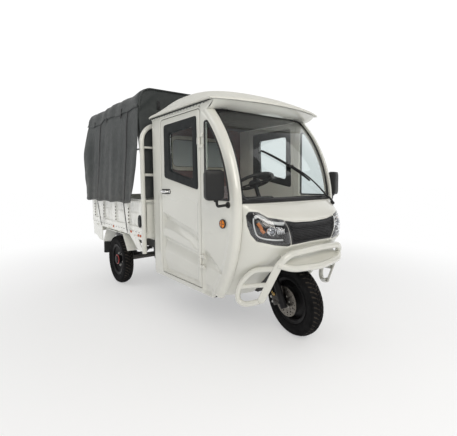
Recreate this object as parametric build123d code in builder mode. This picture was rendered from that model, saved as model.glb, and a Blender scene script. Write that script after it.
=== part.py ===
from build123d import *
import math
import os

os.makedirs("parts", exist_ok=True)

# =====================================================================================
# Enclosed-cab electric cargo tricycle, full size, millimetres.
# +X forward, +Y to the driver's left, +Z up; origin on the ground under the middle of
# the vehicle's box. Stations st(a) are distances ahead of the rear axle.
# =====================================================================================
WHEELBASE = 2060.0
TYRE_R, TYRE_W = 262.0, 104.0        # 4.00-12 tyre
RIM_SEAT_R, RIM_FLANGE_R = 156.0, 168.0
RIM_HALF_W = 42.0
XF = 1289.0                          # front axle
XR = XF - WHEELBASE                  # rear axle
TRACK_Y = 505.0                      # middle plane of each rear tyre
RUN = 0.05                           # running clearance of shafts, radial


def st(a):
    return XR + a


# cab
CAB_REAR, CAB_HALF_W, WALL = st(880), 517.0, 30.0
SILL_Z, GUTTER_Z = 296.0, 1655.0
DOOR_X0, DOOR_X1 = st(1040), st(1630)          # rear and front edge of the door leaf
DOOR_Z0, DOOR_Z1 = 340.0, 1625.0
DOOR_GAP = 5.0
HINGE_X, HINGE_Y = st(1636), CAB_HALF_W + 9    # door hinge pin
HINGE_Z = (540.0, 1400.0)                      # heights of the two hinges of a door
HINGE_R, HINGE_PIN_R = 8.0, 4.5
ARC_X, ARC_Z = st(1035), 907.0                 # centre of the cab front's side-view arc
ARC_R_SIDE, ARC_R_FRONT = 946.0, 998.0         # rear and front edge of the front pillar
PILLAR_Y = 470.0                               # inner edge of the pillar
GLASS_BULGE = 45.0                             # windscreen bulge at the middle
# steering
RAKE, FORK_OFFSET = math.radians(24), 40.0
SIN, COS = math.sin(RAKE), math.cos(RAKE)
A0 = Vector(XF - FORK_OFFSET * COS, 0, TYRE_R - FORK_OFFSET * SIN)
COLUMN_R, LEG_Y = 16.0, 105.0
STEER = -9.0                         # degrees the steering stands at, to the right
HEAD_S0, HEAD_S1, WHEEL_S = 336.0, 500.0, 925.0  # head tube and steering wheel along the axis
# cargo bed
BED_X0, BED_X1, BED_HALF_W = st(-720), st(800), 575.0
BED_Z0, BED_Z1, BOARD_TOP = 600.0, 655.0, 955.0
DECK_T = 8.0
# canopy
HOOP_Y, HOOP_TOP, HOOP_R, HOOP_BEND = 558.0, 1942.0, 11.0, 110.0
HOOP_X = (st(-690), st(30), st(748))
TARP_X0, TARP_X1 = st(-716), st(766)
TARP_Z0, TARP_TOP, TARP_T = 905.0, 1968.0, 5.0
TARP_Y_LOW, TARP_Y_SHOULDER = 648.0, 584.0
# chassis
RAIL_Y, RAIL_W = 360.0, 60.0
TAIL_HINGE_X, TAIL_HINGE_Z = st(-757), 632.0


def save(shape, name):
    shape.label = name
    export_step(shape, f"parts/{name}.step")


def steer_plane(s):
    """Plane square to the steering axis, s above the axle's foot: local X forward, Y left, Z up the axis."""
    return Plane(origin=(A0.X - s * SIN, 0, A0.Z + s * COS), x_dir=(COS, 0, SIN), z_dir=(-SIN, 0, COS))


def turned(shape):
    """A steered piece at the angle the steering stands at."""
    return shape.rotate(Axis((A0.X, 0, A0.Z), (-SIN, 0, COS)), STEER)


def wheel_plane(xc, yc):
    """Section plane of a wheel: local X is the radius, local Y the axle's direction."""
    return Plane(origin=(xc, yc, TYRE_R), x_dir=(1, 0, 0), z_dir=(0, 0, 1))


def tube(points, bend, radius):
    """Round tube along straight runs joined by tangent arcs."""
    with BuildPart() as made:
        with BuildLine() as path:
            FilletPolyline(*points, radius=bend) if len(points) > 2 else Line(*points)
        with BuildSketch(Plane(origin=path.line @ 0, z_dir=path.line % 0)):
            Circle(radius)
        sweep(path=path.wire())
    return made.part


def plate(points, y0, y1):
    """Side-view outline (x, z) taken from y0 to y1."""
    with BuildPart() as made:
        with BuildSketch(Plane.XZ.offset(-y0)):
            Polygon(*points, align=None)
        extrude(amount=-(y1 - y0))
    return made.part


def box(x0, x1, y0, y1, z0, z1):
    with BuildPart() as made:
        with Locations(((x0 + x1) / 2, (y0 + y1) / 2, (z0 + z1) / 2)):
            Box(x1 - x0, y1 - y0, z1 - z0)
    return made.part


def group(*shapes):
    """Several separate solids as one node."""
    return Compound([s for shape in shapes for s in shape.solids()])


def both(shape):
    """A right-hand piece and its mirror image, as one node of two solids."""
    return group(shape, mirror(shape, about=Plane.XZ))


# =====================================================================================
# Wheels
# =====================================================================================
def make_tyre(xc, yc):
    with BuildPart() as tyre:
        with BuildSketch(wheel_plane(xc, yc)):
            with BuildLine():
                a = ThreePointArc((TYRE_R - 7, -40), (TYRE_R, 0), (TYRE_R - 7, 40))
                b = ThreePointArc(a @ 1, (222, TYRE_W / 2), (172, 36))
                c = Polyline(b @ 1, (RIM_SEAT_R + 0.5, 36), (RIM_SEAT_R + 0.5, 22), (176, 26))
                d = ThreePointArc(c @ 1, (222, 40), (245, 0))
                e = ThreePointArc(d @ 1, (222, -40), (176, -26))
                f = Polyline(e @ 1, (RIM_SEAT_R + 0.5, -22), (RIM_SEAT_R + 0.5, -36), (172, -36))
                ThreePointArc(f @ 1, (222, -TYRE_W / 2), a @ 0)
            make_face()
        revolve(axis=Axis((xc, yc, TYRE_R), (0, 1, 0)))
    return tyre.part


def make_rim(xc, yc, bore, hub_r, hub_y0, hub_y1, web_y):
    """Steel disc wheel: hub, dished web and a drop-centre barrel."""
    with BuildPart() as rim:
        with BuildSketch(wheel_plane(xc, yc)):
            Polygon(
                (bore, hub_y0), (hub_r, hub_y0), (hub_r, web_y - 5), (96, web_y - 12),
                (142, web_y + 8), (142, -30), (150, -36), (164, -38), (164, -RIM_HALF_W), (RIM_FLANGE_R, -RIM_HALF_W),
                (RIM_FLANGE_R, -37), (RIM_SEAT_R, -36.5), (RIM_SEAT_R, -20), (150, -14), (150, 14), (RIM_SEAT_R, 20),
                (RIM_SEAT_R, 36.5), (RIM_FLANGE_R, 37), (RIM_FLANGE_R, RIM_HALF_W), (164, RIM_HALF_W), (164, 38), (150, 36),
                (142, 30), (142, web_y + 16), (96, web_y - 4), (hub_r, web_y + 3), (hub_r, hub_y1), (bore, hub_y1), align=None)
        revolve(axis=Axis((xc, yc, TYRE_R), (0, 1, 0)))
    return rim.part


save(turned(make_tyre(XF, 0)), "front_tyre")
save(turned(make_rim(XF, 0, 8 + RUN, 36, -50, 50, -4)), "front_rim")

# brake disc on the right of the front hub
DISC_Y, DISC_R, DISC_T = -72.0, 110.0, 5.0
with BuildPart() as disc:
    with BuildSketch(wheel_plane(XF, 0)):
        Polygon((20, -50), (46, -50), (46, DISC_Y + DISC_T / 2), (DISC_R, DISC_Y + DISC_T / 2), (DISC_R, DISC_Y - DISC_T / 2), (20, DISC_Y - DISC_T / 2), align=None)
    revolve(axis=Axis((XF, 0, TYRE_R), (0, 1, 0)))
    for ring_r, count, hole_r, turn in ((96, 18, 4.0, 0), (80, 12, 6.5, 10), (64, 9, 4.5, 0)):
        for k in range(count):
            t = math.radians(360 / count * k + turn)
            with BuildSketch(Plane(origin=(XF + ring_r * math.cos(t), DISC_Y - 10, TYRE_R + ring_r * math.sin(t)), x_dir=(1, 0, 0), z_dir=(0, 1, 0))):
                Circle(hole_r)
            extrude(amount=20, mode=Mode.SUBTRACT)
save(turned(disc.part), "brake_disc")

# rear wheels: a hub with its grease cap; table by side
AXLE_STUB_R = 15.0
for side, sign in (("left", 1), ("right", -1)):
    yc = sign * TRACK_Y
    save(make_tyre(XR, yc), f"rear_tyre_{side}")
    with BuildPart() as hub:
        with BuildSketch(Plane(origin=(XR, TRACK_Y + 40, TYRE_R), x_dir=(1, 0, 0), z_dir=(0, 1, 0))):
            Circle(40)
        extrude(amount=14)
        chamfer(hub.edges().group_by(Axis.Y)[-1], 4)
        add(make_rim(XR, TRACK_Y, AXLE_STUB_R + RUN, 44, -46, 40, 2))
    save(hub.part if sign > 0 else mirror(hub.part, about=Plane.XZ), f"rear_rim_{side}")

# =====================================================================================
# Steering: fork, column and wheel turn together about the raked head
# =====================================================================================
with BuildPart() as fork:
    with BuildSketch(steer_plane(300)):
        Circle(COLUMN_R)
    extrude(amount=WHEEL_S - 16 - 300)
    with BuildSketch(steer_plane(298)):
        with Locations((30, 0)):
            RectangleRounded(104, 2 * LEG_Y + 56, 14)
    extrude(amount=24)
    for y in (-LEG_Y, LEG_Y):
        with BuildSketch(steer_plane(150)):
            with Locations((FORK_OFFSET, y)):
                Circle(17)
        extrude(amount=150)
        with BuildSketch(steer_plane(-42)):
            with Locations((FORK_OFFSET, y)):
                Circle(24)
        extrude(amount=205)
    with BuildSketch(Plane(origin=(XF, -132, TYRE_R), x_dir=(1, 0, 0), z_dir=(0, 1, 0))):
        Circle(8)
    extrude(amount=264)
save(turned(fork.part), "front_fork")

with BuildPart() as caliper:
    with BuildSketch(steer_plane(-14)):
        with Locations((-56, -77)):
            Rectangle(72, 44)
    extrude(amount=92)
    fillet(caliper.edges().filter_by(lambda e: abs((e % 0.5).dot(Vector(-SIN, 0, COS))) > 0.99), 8)
    with BuildSketch(steer_plane(-30)):
        with Locations((-36, DISC_Y)):
            Rectangle(80, 11)
    extrude(amount=140, mode=Mode.SUBTRACT)
    with BuildSketch(steer_plane(8)):
        with Locations((-3, -94)):
            Rectangle(37, 10)
    extrude(amount=52)
save(turned(caliper.part), "brake_caliper")

RIM_GRIP_R, WHEEL_RING_R = 13.0, 152.0
with BuildPart() as steering_wheel:
    with BuildSketch(Plane(origin=steer_plane(WHEEL_S + 22).origin, x_dir=(COS, 0, SIN), z_dir=(0, -1, 0))):
        with Locations((WHEEL_RING_R, 0)):
            Circle(RIM_GRIP_R)
    revolve(axis=Axis(steer_plane(WHEEL_S).origin, (-SIN, 0, COS)))
    with BuildSketch(steer_plane(WHEEL_S - 14)):
        Circle(48)
    extrude(amount=44)
    for turn in (90, 210, 330):
        with BuildSketch(steer_plane(WHEEL_S + 14)):
            with Locations(Location((0, 0), turn)):
                with Locations((92, 0)):
                    Rectangle(108, 28)
        extrude(amount=12)
save(turned(steering_wheel.part), "steering_wheel")

# =====================================================================================
# Chassis, rear axle and springs
# =====================================================================================
RAIL = [(-700, 540), (610, 540), (800, 286), (1600, 286), (1600, 226), (768, 226), (578, 466), (-700, 466)]
CROSS = [  # station x0, x1, z0, z1
    (-700, -660, 470, 536), (-340, -300, 470, 536), (300, 340, 470, 536), (540, 580, 472, 536),
    (1000, 1050, 228, 282), (1548, 1600, 228, 282)]
with BuildPart() as chassis:
    for y in (-RAIL_Y, RAIL_Y):
        add(plate([(st(a), z) for a, z in RAIL], y - RAIL_W / 2, y + RAIL_W / 2))
    for a0, a1, z0, z1 in CROSS:
        add(box(st(a0), st(a1), -RAIL_Y + RAIL_W / 2, RAIL_Y - RAIL_W / 2, z0, z1))
    add(plate([(st(a), z) for a, z in ((1560, 228), (1715, 228), (1826, 512), (1868, 585), (1806, 690), (1760, 660), (1650, 330), (1636, 284), (1560, 284))], -34, 34))
    with BuildSketch(steer_plane(HEAD_S0)):
        Circle(31)
    extrude(amount=HEAD_S1 - HEAD_S0)
    with BuildSketch(steer_plane(HEAD_S0 - 60)):
        Circle(COLUMN_R + RUN)
    extrude(amount=HEAD_S1 - HEAD_S0 + 120, mode=Mode.SUBTRACT)
    for a in (-418, 418):                       # spring hangers
        for y in (-RAIL_Y, RAIL_Y):
            for dy in (-29, 29):
                add(box(st(a - 22), st(a + 22), y + dy - 2.5 * (1 if dy > 0 else 1), y + dy + 2.5, 420, 466))
save(chassis.part, "chassis_frame")

with BuildPart() as axle:
    with BuildSketch(Plane(origin=(XR, -400, TYRE_R), x_dir=(1, 0, 0), z_dir=(0, 1, 0))):
        Circle(30)
    extrude(amount=800)
    for y0 in (-448, 408):                      # brake backplates
        with BuildSketch(Plane(origin=(XR, y0, TYRE_R), x_dir=(1, 0, 0), z_dir=(0, 1, 0))):
            Circle(92)
        extrude(amount=40)
    with BuildSketch(Plane(origin=(XR, -540, TYRE_R), x_dir=(1, 0, 0), z_dir=(0, 1, 0))):
        Circle(AXLE_STUB_R)
    extrude(amount=1080)
    with BuildSketch(Plane(origin=(XR, -62, TYRE_R), x_dir=(1, 0, 0), z_dir=(0, 1, 0))):
        Circle(105)
    extrude(amount=124)
    fillet(axle.edges().filter_by(GeomType.CIRCLE).filter_by(lambda e: abs(e.radius - 105) < 1), 18)
    for y in (-RAIL_Y, RAIL_Y):
        add(box(XR - 45, XR + 45, y - 26, y + 26, TYRE_R + 10, 300))
save(axle.part, "rear_axle")

with BuildPart() as motor:
    with BuildSketch(Plane(origin=(XR, 62.5, TYRE_R), x_dir=(1, 0, 0), z_dir=(0, 1, 0))):
        Circle(88)
        Circle(30.5, mode=Mode.SUBTRACT)
    extrude(amount=170)
    chamfer(motor.edges().group_by(Axis.Y)[-1].filter_by(lambda e: e.radius > 50), 12)
save(motor.part, "drive_motor")

LEAVES = [(418, 0), (330, 1), (240, 2), (150, 3)]   # half length, layer below the main leaf
LEAF_T, LEAF_W, LEAF_EYE_Z, LEAF_MID_Z = 8.5, 50.0, 436.0, 330.0
LEAF_RADIUS = (418**2 + (LEAF_EYE_Z - LEAF_MID_Z) ** 2) / (2 * (LEAF_EYE_Z - LEAF_MID_Z))


def leaf_z(a, layer):
    return LEAF_MID_Z + LEAF_RADIUS - math.sqrt(LEAF_RADIUS**2 - a**2) - layer * LEAF_T


with BuildPart() as spring:
    for half, layer in LEAVES:
        with BuildSketch(Plane.XZ.offset(RAIL_Y - LEAF_W / 2)):
            with BuildLine():
                top = ThreePointArc((XR - half, leaf_z(half, layer)), (XR, leaf_z(0, layer)), (XR + half, leaf_z(half, layer)))
                low = ThreePointArc((XR - half, leaf_z(half, layer + 1)), (XR, leaf_z(0, layer + 1)), (XR + half, leaf_z(half, layer + 1)))
                Line(top @ 0, low @ 0)
                Line(top @ 1, low @ 1)
            make_face()
        extrude(amount=LEAF_W)
    for s in (-1, 1):                           # eyes
        with BuildSketch(Plane.XZ.offset(RAIL_Y - LEAF_W / 2)):
            with Locations((XR + s * 418, LEAF_EYE_Z - 2)):
                Circle(15)
        extrude(amount=LEAF_W)
    with BuildSketch(Plane.XZ.offset(RAIL_Y - LEAF_W / 2 - 1)):   # clamp plate over the pack
        with Locations((XR, LEAF_MID_Z + 5)):
            Rectangle(110, 12)
    extrude(amount=LEAF_W + 2)
    split(bisect_by=Plane.XY.offset(300.3), keep=Keep.TOP)
save(both(spring.part), "leaf_springs")

# =====================================================================================
# Cargo bed
# =====================================================================================
RIB_X = [st(a) for a in (-655, -300, 55, 410, 735)]
BOARD_Y0, BOARD_Y1, RIB_Y = 547.0, 565.0, 580.0
with BuildPart() as board:                      # right-hand board with its pressed ribs
    add(box(BED_X0, BED_X1, -BOARD_Y1, -BOARD_Y0, BED_Z1 + 0.5, BOARD_TOP))
    add(box(BED_X0, BED_X1, -RIB_Y, -BOARD_Y0, BOARD_TOP - 30, BOARD_TOP))
    add(box(BED_X0, BED_X1, -RIB_Y, -BOARD_Y1, BED_Z1 + 0.5, BED_Z1 + 42))
    for x in RIB_X:
        with BuildSketch(Plane.XY.offset(BED_Z1 + 42)):
            Polygon((x - 44, -BOARD_Y1 + 2), (x + 44, -BOARD_Y1 + 2), (x + 30, -RIB_Y), (x - 30, -RIB_Y), align=None)
        extrude(amount=BOARD_TOP - 30 - BED_Z1 - 42)
save(both(board.part), "bed_sides")

with BuildPart() as front_board:
    add(box(BED_X1 - 24, BED_X1, -BOARD_Y0 + 0.5, BOARD_Y0 - 0.5, BED_Z1 + 0.5, BOARD_TOP - 12))
    for y in (-360, 0, 360):
        add(box(BED_X1 - 1, BED_X1 + 9, y - 30, y + 30, BED_Z1 + 20, BOARD_TOP - 40))
save(front_board.part, "bed_front_board")

# tailgate on three bottom hinges
GATE_X0, GATE_X1, GATE_Z0, GATE_HALF_W = st(-750), st(-722), 641.0, 571.0
KNUCKLE_R, PIN_R = 9.0, 5.0
HINGE_Y_POS = (-400.0, 0.0, 400.0)
with BuildPart() as gate:
    add(box(GATE_X0 + 8, GATE_X1, -GATE_HALF_W, GATE_HALF_W, GATE_Z0, BOARD_TOP))
    for z0, z1 in ((GATE_Z0, GATE_Z0 + 40), (BOARD_TOP - 30, BOARD_TOP)):
        add(box(GATE_X0, GATE_X0 + 8, -GATE_HALF_W, GATE_HALF_W, z0, z1))
    for y in (-535, -270, 0, 270, 535):
        add(box(GATE_X0, GATE_X0 + 8, y - 34, y + 34, GATE_Z0 + 40, BOARD_TOP - 30))
    for y in (-500, 500):                       # latch handles
        add(box(st(-778.1), GATE_X0, y - 12, y + 12, BOARD_TOP - 62, BOARD_TOP - 32))
    for y in HINGE_Y_POS:
        with BuildSketch(Plane(origin=(TAIL_HINGE_X, y - 14, TAIL_HINGE_Z), x_dir=(1, 0, 0), z_dir=(0, 1, 0))):
            Circle(KNUCKLE_R)
        extrude(amount=28)
        add(box(TAIL_HINGE_X - 4, GATE_X0 + 2, y - 14, y + 14, TAIL_HINGE_Z, GATE_Z0 + 30))
        with BuildSketch(Plane(origin=(TAIL_HINGE_X, y - 20, TAIL_HINGE_Z), x_dir=(1, 0, 0), z_dir=(0, 1, 0))):
            Circle(PIN_R + RUN)
        extrude(amount=40, mode=Mode.SUBTRACT)
save(gate.part, "tailgate")

with BuildPart() as bed:
    add(box(BED_X0, BED_X1, -BED_HALF_W, BED_HALF_W, BED_Z0, BED_Z1))
    bays = 4
    bay = (BED_X1 - BED_X0 - 40) / bays
    for k in range(bays):
        x0 = BED_X0 + 20 + k * bay
        add(box(x0 + 18, x0 + bay - 18, -BED_HALF_W + 36, BED_HALF_W - 36, BED_Z0 - 1, BED_Z1 - 8), mode=Mode.SUBTRACT)
    for y in (-RAIL_Y, RAIL_Y):
        add(box(st(-690), st(605), y - 26, y + 26, 540.5, BED_Z0))
    add(box(BED_X0 + 26, BED_X1 - 46, -506, 506, BED_Z1, BED_Z1 + DECK_T))     # raised load deck
    for y in HINGE_Y_POS:                        # tailgate hinge brackets and pins
        with BuildSketch(Plane(origin=(TAIL_HINGE_X, y - 36, TAIL_HINGE_Z), x_dir=(1, 0, 0), z_dir=(0, 1, 0))):
            Circle(PIN_R)
        extrude(amount=72)
        for y0 in (y - 36, y + 15):
            with BuildSketch(Plane(origin=(TAIL_HINGE_X, y0, TAIL_HINGE_Z), x_dir=(1, 0, 0), z_dir=(0, 1, 0))):
                Circle(KNUCKLE_R)
            extrude(amount=21)
            add(box(TAIL_HINGE_X, BED_X0, y0, y0 + 21, TAIL_HINGE_Z - 9, TAIL_HINGE_Z - 1))
save(bed.part, "bed_floor")

# white guard hoop between cab and load
GUARD_X, GUARD_Y, GUARD_TOP, GUARD_R, GUARD_BEND, GUARD_LOW = st(826), 590.0, 1620.0, 20.0, 150.0, 470.0
GUARD_BARS = [(942, 13), (1177, 13), (1420, 10)]   # height, radius
shoulder = GUARD_TOP - GUARD_BEND - 20             # where each leg meets the bent top
guard_top = tube([(GUARD_X, -GUARD_Y, shoulder), (GUARD_X, -GUARD_Y, GUARD_TOP), (GUARD_X, GUARD_Y, GUARD_TOP), (GUARD_X, GUARD_Y, shoulder)], GUARD_BEND, GUARD_R)
with BuildPart() as guard_leg:
    with BuildSketch(Plane.XY.offset(GUARD_LOW)):
        with Locations((GUARD_X, -GUARD_Y)):
            Circle(GUARD_R)
    extrude(amount=shoulder - GUARD_LOW)
    add(box(st(800.3), GUARD_X, -GUARD_Y - 6, -GUARD_Y + 34, 610, 646))   # bracket to the bed
with BuildPart() as guard_bars:
    for z, r in GUARD_BARS:
        with BuildSketch(Plane(origin=(GUARD_X, -GUARD_Y + GUARD_R + 0.3, z), x_dir=(1, 0, 0), z_dir=(0, 1, 0))):
            Circle(r)
        extrude(amount=2 * (GUARD_Y - GUARD_R - 0.3))
save(group(guard_top, both(guard_leg.part), guard_bars.part), "headboard_guard")

# =====================================================================================
# Canopy: three bent hoops, straight rails, and the tarpaulin over them
# =====================================================================================
hoops = [tube([(x, -HOOP_Y + 26, BED_Z1 + 1), (x, -HOOP_Y + 26, BOARD_TOP + 20), (x, -HOOP_Y, BOARD_TOP + 110), (x, -HOOP_Y, HOOP_TOP), (x, HOOP_Y, HOOP_TOP), (x, HOOP_Y, BOARD_TOP + 110), (x, HOOP_Y - 26, BOARD_TOP + 20), (x, HOOP_Y - 26, BED_Z1 + 1)], [40, 40, HOOP_BEND, HOOP_BEND, 40, 40], HOOP_R) for x in HOOP_X]
RAIL_R = 8.0
TOP_RAIL_Z = HOOP_TOP - HOOP_R - RAIL_R - 0.4
RAILS = [(-380, TOP_RAIL_Z), (0, TOP_RAIL_Z), (380, TOP_RAIL_Z), (-HOOP_Y + HOOP_R + RAIL_R + 0.4, 1420), (HOOP_Y - HOOP_R - RAIL_R - 0.4, 1420)]   # y, z
with BuildPart() as rails:
    for y, z in RAILS:
        with BuildSketch(Plane(origin=(HOOP_X[0] - 12, y, z), x_dir=(0, 1, 0), z_dir=(1, 0, 0))):
            Circle(RAIL_R)
        extrude(amount=HOOP_X[2] - HOOP_X[0] + 24)
save(group(*hoops, rails.part), "canopy_frame")


def tarp_outline(grow, z_low):
    """Cross-section of the tarpaulin's outside (y, z), taken in by -grow."""
    yl, ys, top = TARP_Y_LOW + grow, TARP_Y_SHOULDER + grow, TARP_TOP + grow
    with BuildLine() as line:
        a = Line((-yl, z_low), (-ys, 1830))
        b = ThreePointArc(a @ 1, (-ys + 34, 1928 + grow), (-ys + 122, top - 5))
        c = ThreePointArc(b @ 1, (0, top), (ys - 122, top - 5))
        d = ThreePointArc(c @ 1, (ys - 34, 1928 + grow), (ys, 1830))
        Line(d @ 1, (yl, z_low))
        Line((yl, z_low), (-yl, z_low))
    return line.edges()


with BuildPart() as tarp:
    with BuildSketch(Plane.YZ.offset(TARP_X0)):
        make_face(tarp_outline(0, TARP_Z0))
    extrude(amount=TARP_X1 - TARP_X0)
    with BuildSketch(Plane.YZ.offset(TARP_X0 - 5)):
        make_face(tarp_outline(-TARP_T, TARP_Z0 - 20))
    extrude(amount=TARP_X1 - TARP_X0 - TARP_T + 5, mode=Mode.SUBTRACT)
    add(box(TARP_X1 - 40, TARP_X1 + 40, -606, 606, TARP_Z0 - 20, BOARD_TOP + 12), mode=Mode.SUBTRACT)
    for y0, y1 in ((-700, -560), (560, 700)):    # the front curtain is slit from the sides
        add(box(TARP_X1 - TARP_T - 0.5, TARP_X1 + 1, y0, y1, TARP_Z0 - 20, 1780), mode=Mode.SUBTRACT)
save(tarp.part, "tarpaulin")

# fenders, flaps and skirts round the rear wheels
FENDER = [(-372, 420), (-250, 584), (250, 584), (372, 420), (366, 416), (247, 579), (-247, 579), (-366, 416)]
save(both(plate([(st(a), z) for a, z in FENDER], -570, -440)), "rear_fenders")
FLAP = [(-380, 270), (-373, 270), (-373, 424), (-380, 424)]
save(both(plate([(st(a), z) for a, z in FLAP], -562, -448)), "mud_flaps")
SKIRTS = [  # station and height outlines
    [(430, 599), (800, 599), (800, 468), (640, 468)],
    [(-719, 599), (-719, 470), (-610, 470), (-500, 425), (-398, 425), (-398, 599)]]
with BuildPart() as skirts:
    for outline in SKIRTS:
        add(plate([(st(a), z) for a, z in outline], -570, -562))
    add(plate([(st(a), z) for a, z in ((640, 575), (722, 575), (722, 500))], -575, -557), mode=Mode.SUBTRACT)
save(both(skirts.part), "bed_skirts")

with BuildPart() as light_bar:
    add(box(st(-742), st(-721), -556, 556, 500, 590))
    add(box(st(-742), st(-738), -150, 150, 400, 500))
    for y in (-75, 75):                          # number plate holes
        with BuildSketch(Plane(origin=(st(-760), y, 450), x_dir=(0, 1, 0), z_dir=(1, 0, 0))):
            Circle(3.5)
        extrude(amount=60, mode=Mode.SUBTRACT)
save(light_bar.part, "rear_light_bar")
with BuildPart() as tail:
    add(box(st(-756), st(-742.2), -540, -400, 512, 578))
    chamfer(tail.faces().sort_by(Axis.X)[0].edges(), 4)
save(both(tail.part), "tail_lamps")

# =====================================================================================
# Cab shell
# =====================================================================================
FLOOR_T, BULKHEAD_X = 22.0, st(1606)
with BuildPart() as floor:
    add(box(CAB_REAR + 0.2, BULKHEAD_X + 18, -CAB_HALF_W + WALL + 0.3, CAB_HALF_W - WALL - 0.3, SILL_Z, SILL_Z + FLOOR_T))
    add(box(BULKHEAD_X, BULKHEAD_X + 18, -CAB_HALF_W + WALL + 0.3, CAB_HALF_W - WALL - 0.3, SILL_Z, 800))
    add(box(BULKHEAD_X, st(1950), -440, 440, 782, 800))
    with BuildSketch(steer_plane(400)):
        Circle(COLUMN_R + 14)
    extrude(amount=500, mode=Mode.SUBTRACT)
save(floor.part, "cab_floor")


def arc_x(z, r):
    return ARC_X + math.sqrt(r * r - (z - ARC_Z) ** 2)


WIN_X, WIN_Z0, WIN_ARC_R = st(1688), 990.0, ARC_R_SIDE - 16   # quarter window


def quarter_window(grow):
    """Quarter light: upright rear edge, curved front edge parallel to the pillar."""
    r, z0, z1 = WIN_ARC_R + grow, WIN_Z0 - grow, 1530 + grow
    zm = 1290.0
    with BuildLine() as line:
        a = Line((WIN_X - grow, z0), (WIN_X - grow, z1))
        b = Line(a @ 1, (arc_x(z1, r), z1))
        c = ThreePointArc(b @ 1, (arc_x(zm, r), zm), (arc_x(z0, r), z0))
        Line(c @ 1, a @ 0)
    return line.edges()


with BuildPart() as side:                        # right-hand side frame
    with BuildSketch(Plane.XZ.offset(CAB_HALF_W - WALL)):
        r = ARC_R_SIDE - 0.3
        with BuildLine():
            a = Polyline((arc_x(SILL_Z, r), SILL_Z), (CAB_REAR, SILL_Z), (CAB_REAR, GUTTER_Z), (arc_x(GUTTER_Z, r), GUTTER_Z))
            ThreePointArc(a @ 1, (arc_x(ARC_Z, r), ARC_Z), a @ 0)
        make_face()
        with BuildSketch(mode=Mode.SUBTRACT):
            with BuildLine():
                Polyline((DOOR_X0 - DOOR_GAP, DOOR_Z0 - DOOR_GAP), (DOOR_X1 + DOOR_GAP, DOOR_Z0 - DOOR_GAP), (DOOR_X1 + DOOR_GAP, DOOR_Z1 + DOOR_GAP), (DOOR_X0 - DOOR_GAP, DOOR_Z1 + DOOR_GAP), close=True)
            make_face()
        with BuildSketch(mode=Mode.SUBTRACT):
            make_face(quarter_window(0))
    extrude(amount=WALL)
    for z in HINGE_Z:                            # fixed knuckles, leaf and pin of each door hinge
        with BuildSketch(Plane.XY.offset(z - 50)):
            with Locations((HINGE_X, -HINGE_Y)):
                Circle(HINGE_PIN_R)
        extrude(amount=100)
        for z0 in (z - 50, z + 25):
            with BuildSketch(Plane.XY.offset(z0)):
                with Locations((HINGE_X, -HINGE_Y)):
                    Circle(HINGE_R)
            extrude(amount=25)
            add(box(HINGE_X, HINGE_X + 42, -HINGE_Y - 1, -CAB_HALF_W, z0, z0 + 25))
save(both(side.part), "cab_sides")

with BuildPart() as quarter:
    with BuildSketch(Plane.XZ.offset(CAB_HALF_W - 18)):
        make_face(quarter_window(-0.4))
    extrude(amount=6)

# windscreen frame: both front pillars and the header, one hoop turned about the cab front's arc centre
ARC_AXIS = Axis((ARC_X, 0, ARC_Z), (0, -1, 0))


def arc_section(angle):
    """Radial section plane of the cab front at an angle above the horizontal: local X outwards, local Y to the left."""
    t = math.radians(angle)
    return Plane(origin=(ARC_X, 0, ARC_Z), x_dir=(math.cos(t), 0, math.sin(t)), z_dir=(-math.sin(t), 0, math.cos(t)))


ANGLE_SILL, ANGLE_BASE, ANGLE_TOP, ANGLE_HEAD = -36.6, 3.6, 45.6, 48.2
with BuildPart() as frame:
    with BuildSketch(arc_section(ANGLE_SILL)):
        for s in (-1, 1):
            with BuildLine():
                a = Line((ARC_R_SIDE, s * CAB_HALF_W), (ARC_R_SIDE + 12, s * CAB_HALF_W))
                b = ThreePointArc(a @ 1, (ARC_R_FRONT - 8, s * (CAB_HALF_W - 13)), (ARC_R_FRONT, s * (PILLAR_Y + 6)))
                c = Polyline(b @ 1, (ARC_R_FRONT, s * PILLAR_Y), (ARC_R_FRONT - 34, s * PILLAR_Y), (ARC_R_SIDE, s * (CAB_HALF_W - WALL)), a @ 0)
            make_face()
    revolve(axis=ARC_AXIS, revolution_arc=ANGLE_HEAD - ANGLE_SILL)
    with BuildSketch(arc_section(ANGLE_TOP + 0.3)):
        with BuildLine():
            a = ThreePointArc((ARC_R_FRONT - 14, -PILLAR_Y - 1), (ARC_R_FRONT - 14 + GLASS_BULGE, 0), (ARC_R_FRONT - 14, PILLAR_Y + 1))
            b = ThreePointArc((ARC_R_FRONT - 38, -PILLAR_Y - 1), (ARC_R_FRONT - 38 + GLASS_BULGE, 0), (ARC_R_FRONT - 38, PILLAR_Y + 1))
            Line(a @ 0, b @ 0)
            Line(a @ 1, b @ 1)
        make_face()
    revolve(axis=ARC_AXIS, revolution_arc=ANGLE_HEAD - ANGLE_TOP - 0.3)
    split(bisect_by=Plane.XY.offset(GUTTER_Z), keep=Keep.BOTTOM)
    split(bisect_by=Plane.XY.offset(SILL_Z), keep=Keep.TOP)
save(frame.part, "windscreen_frame")

with BuildPart() as screen:
    with BuildSketch(arc_section(ANGLE_BASE)):
        r = ARC_R_FRONT - 20
        with BuildLine():
            a = ThreePointArc((r, -PILLAR_Y + 0.4), (r + GLASS_BULGE, 0), (r, PILLAR_Y - 0.4))
            b = ThreePointArc((r - 6, -PILLAR_Y + 0.4), (r - 6 + GLASS_BULGE, 0), (r - 6, PILLAR_Y - 0.4))
            Line(a @ 0, b @ 0)
            Line(a @ 1, b @ 1)
        make_face()
    revolve(axis=ARC_AXIS, revolution_arc=ANGLE_TOP - ANGLE_BASE)
save(screen.part, "windscreen")

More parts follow.
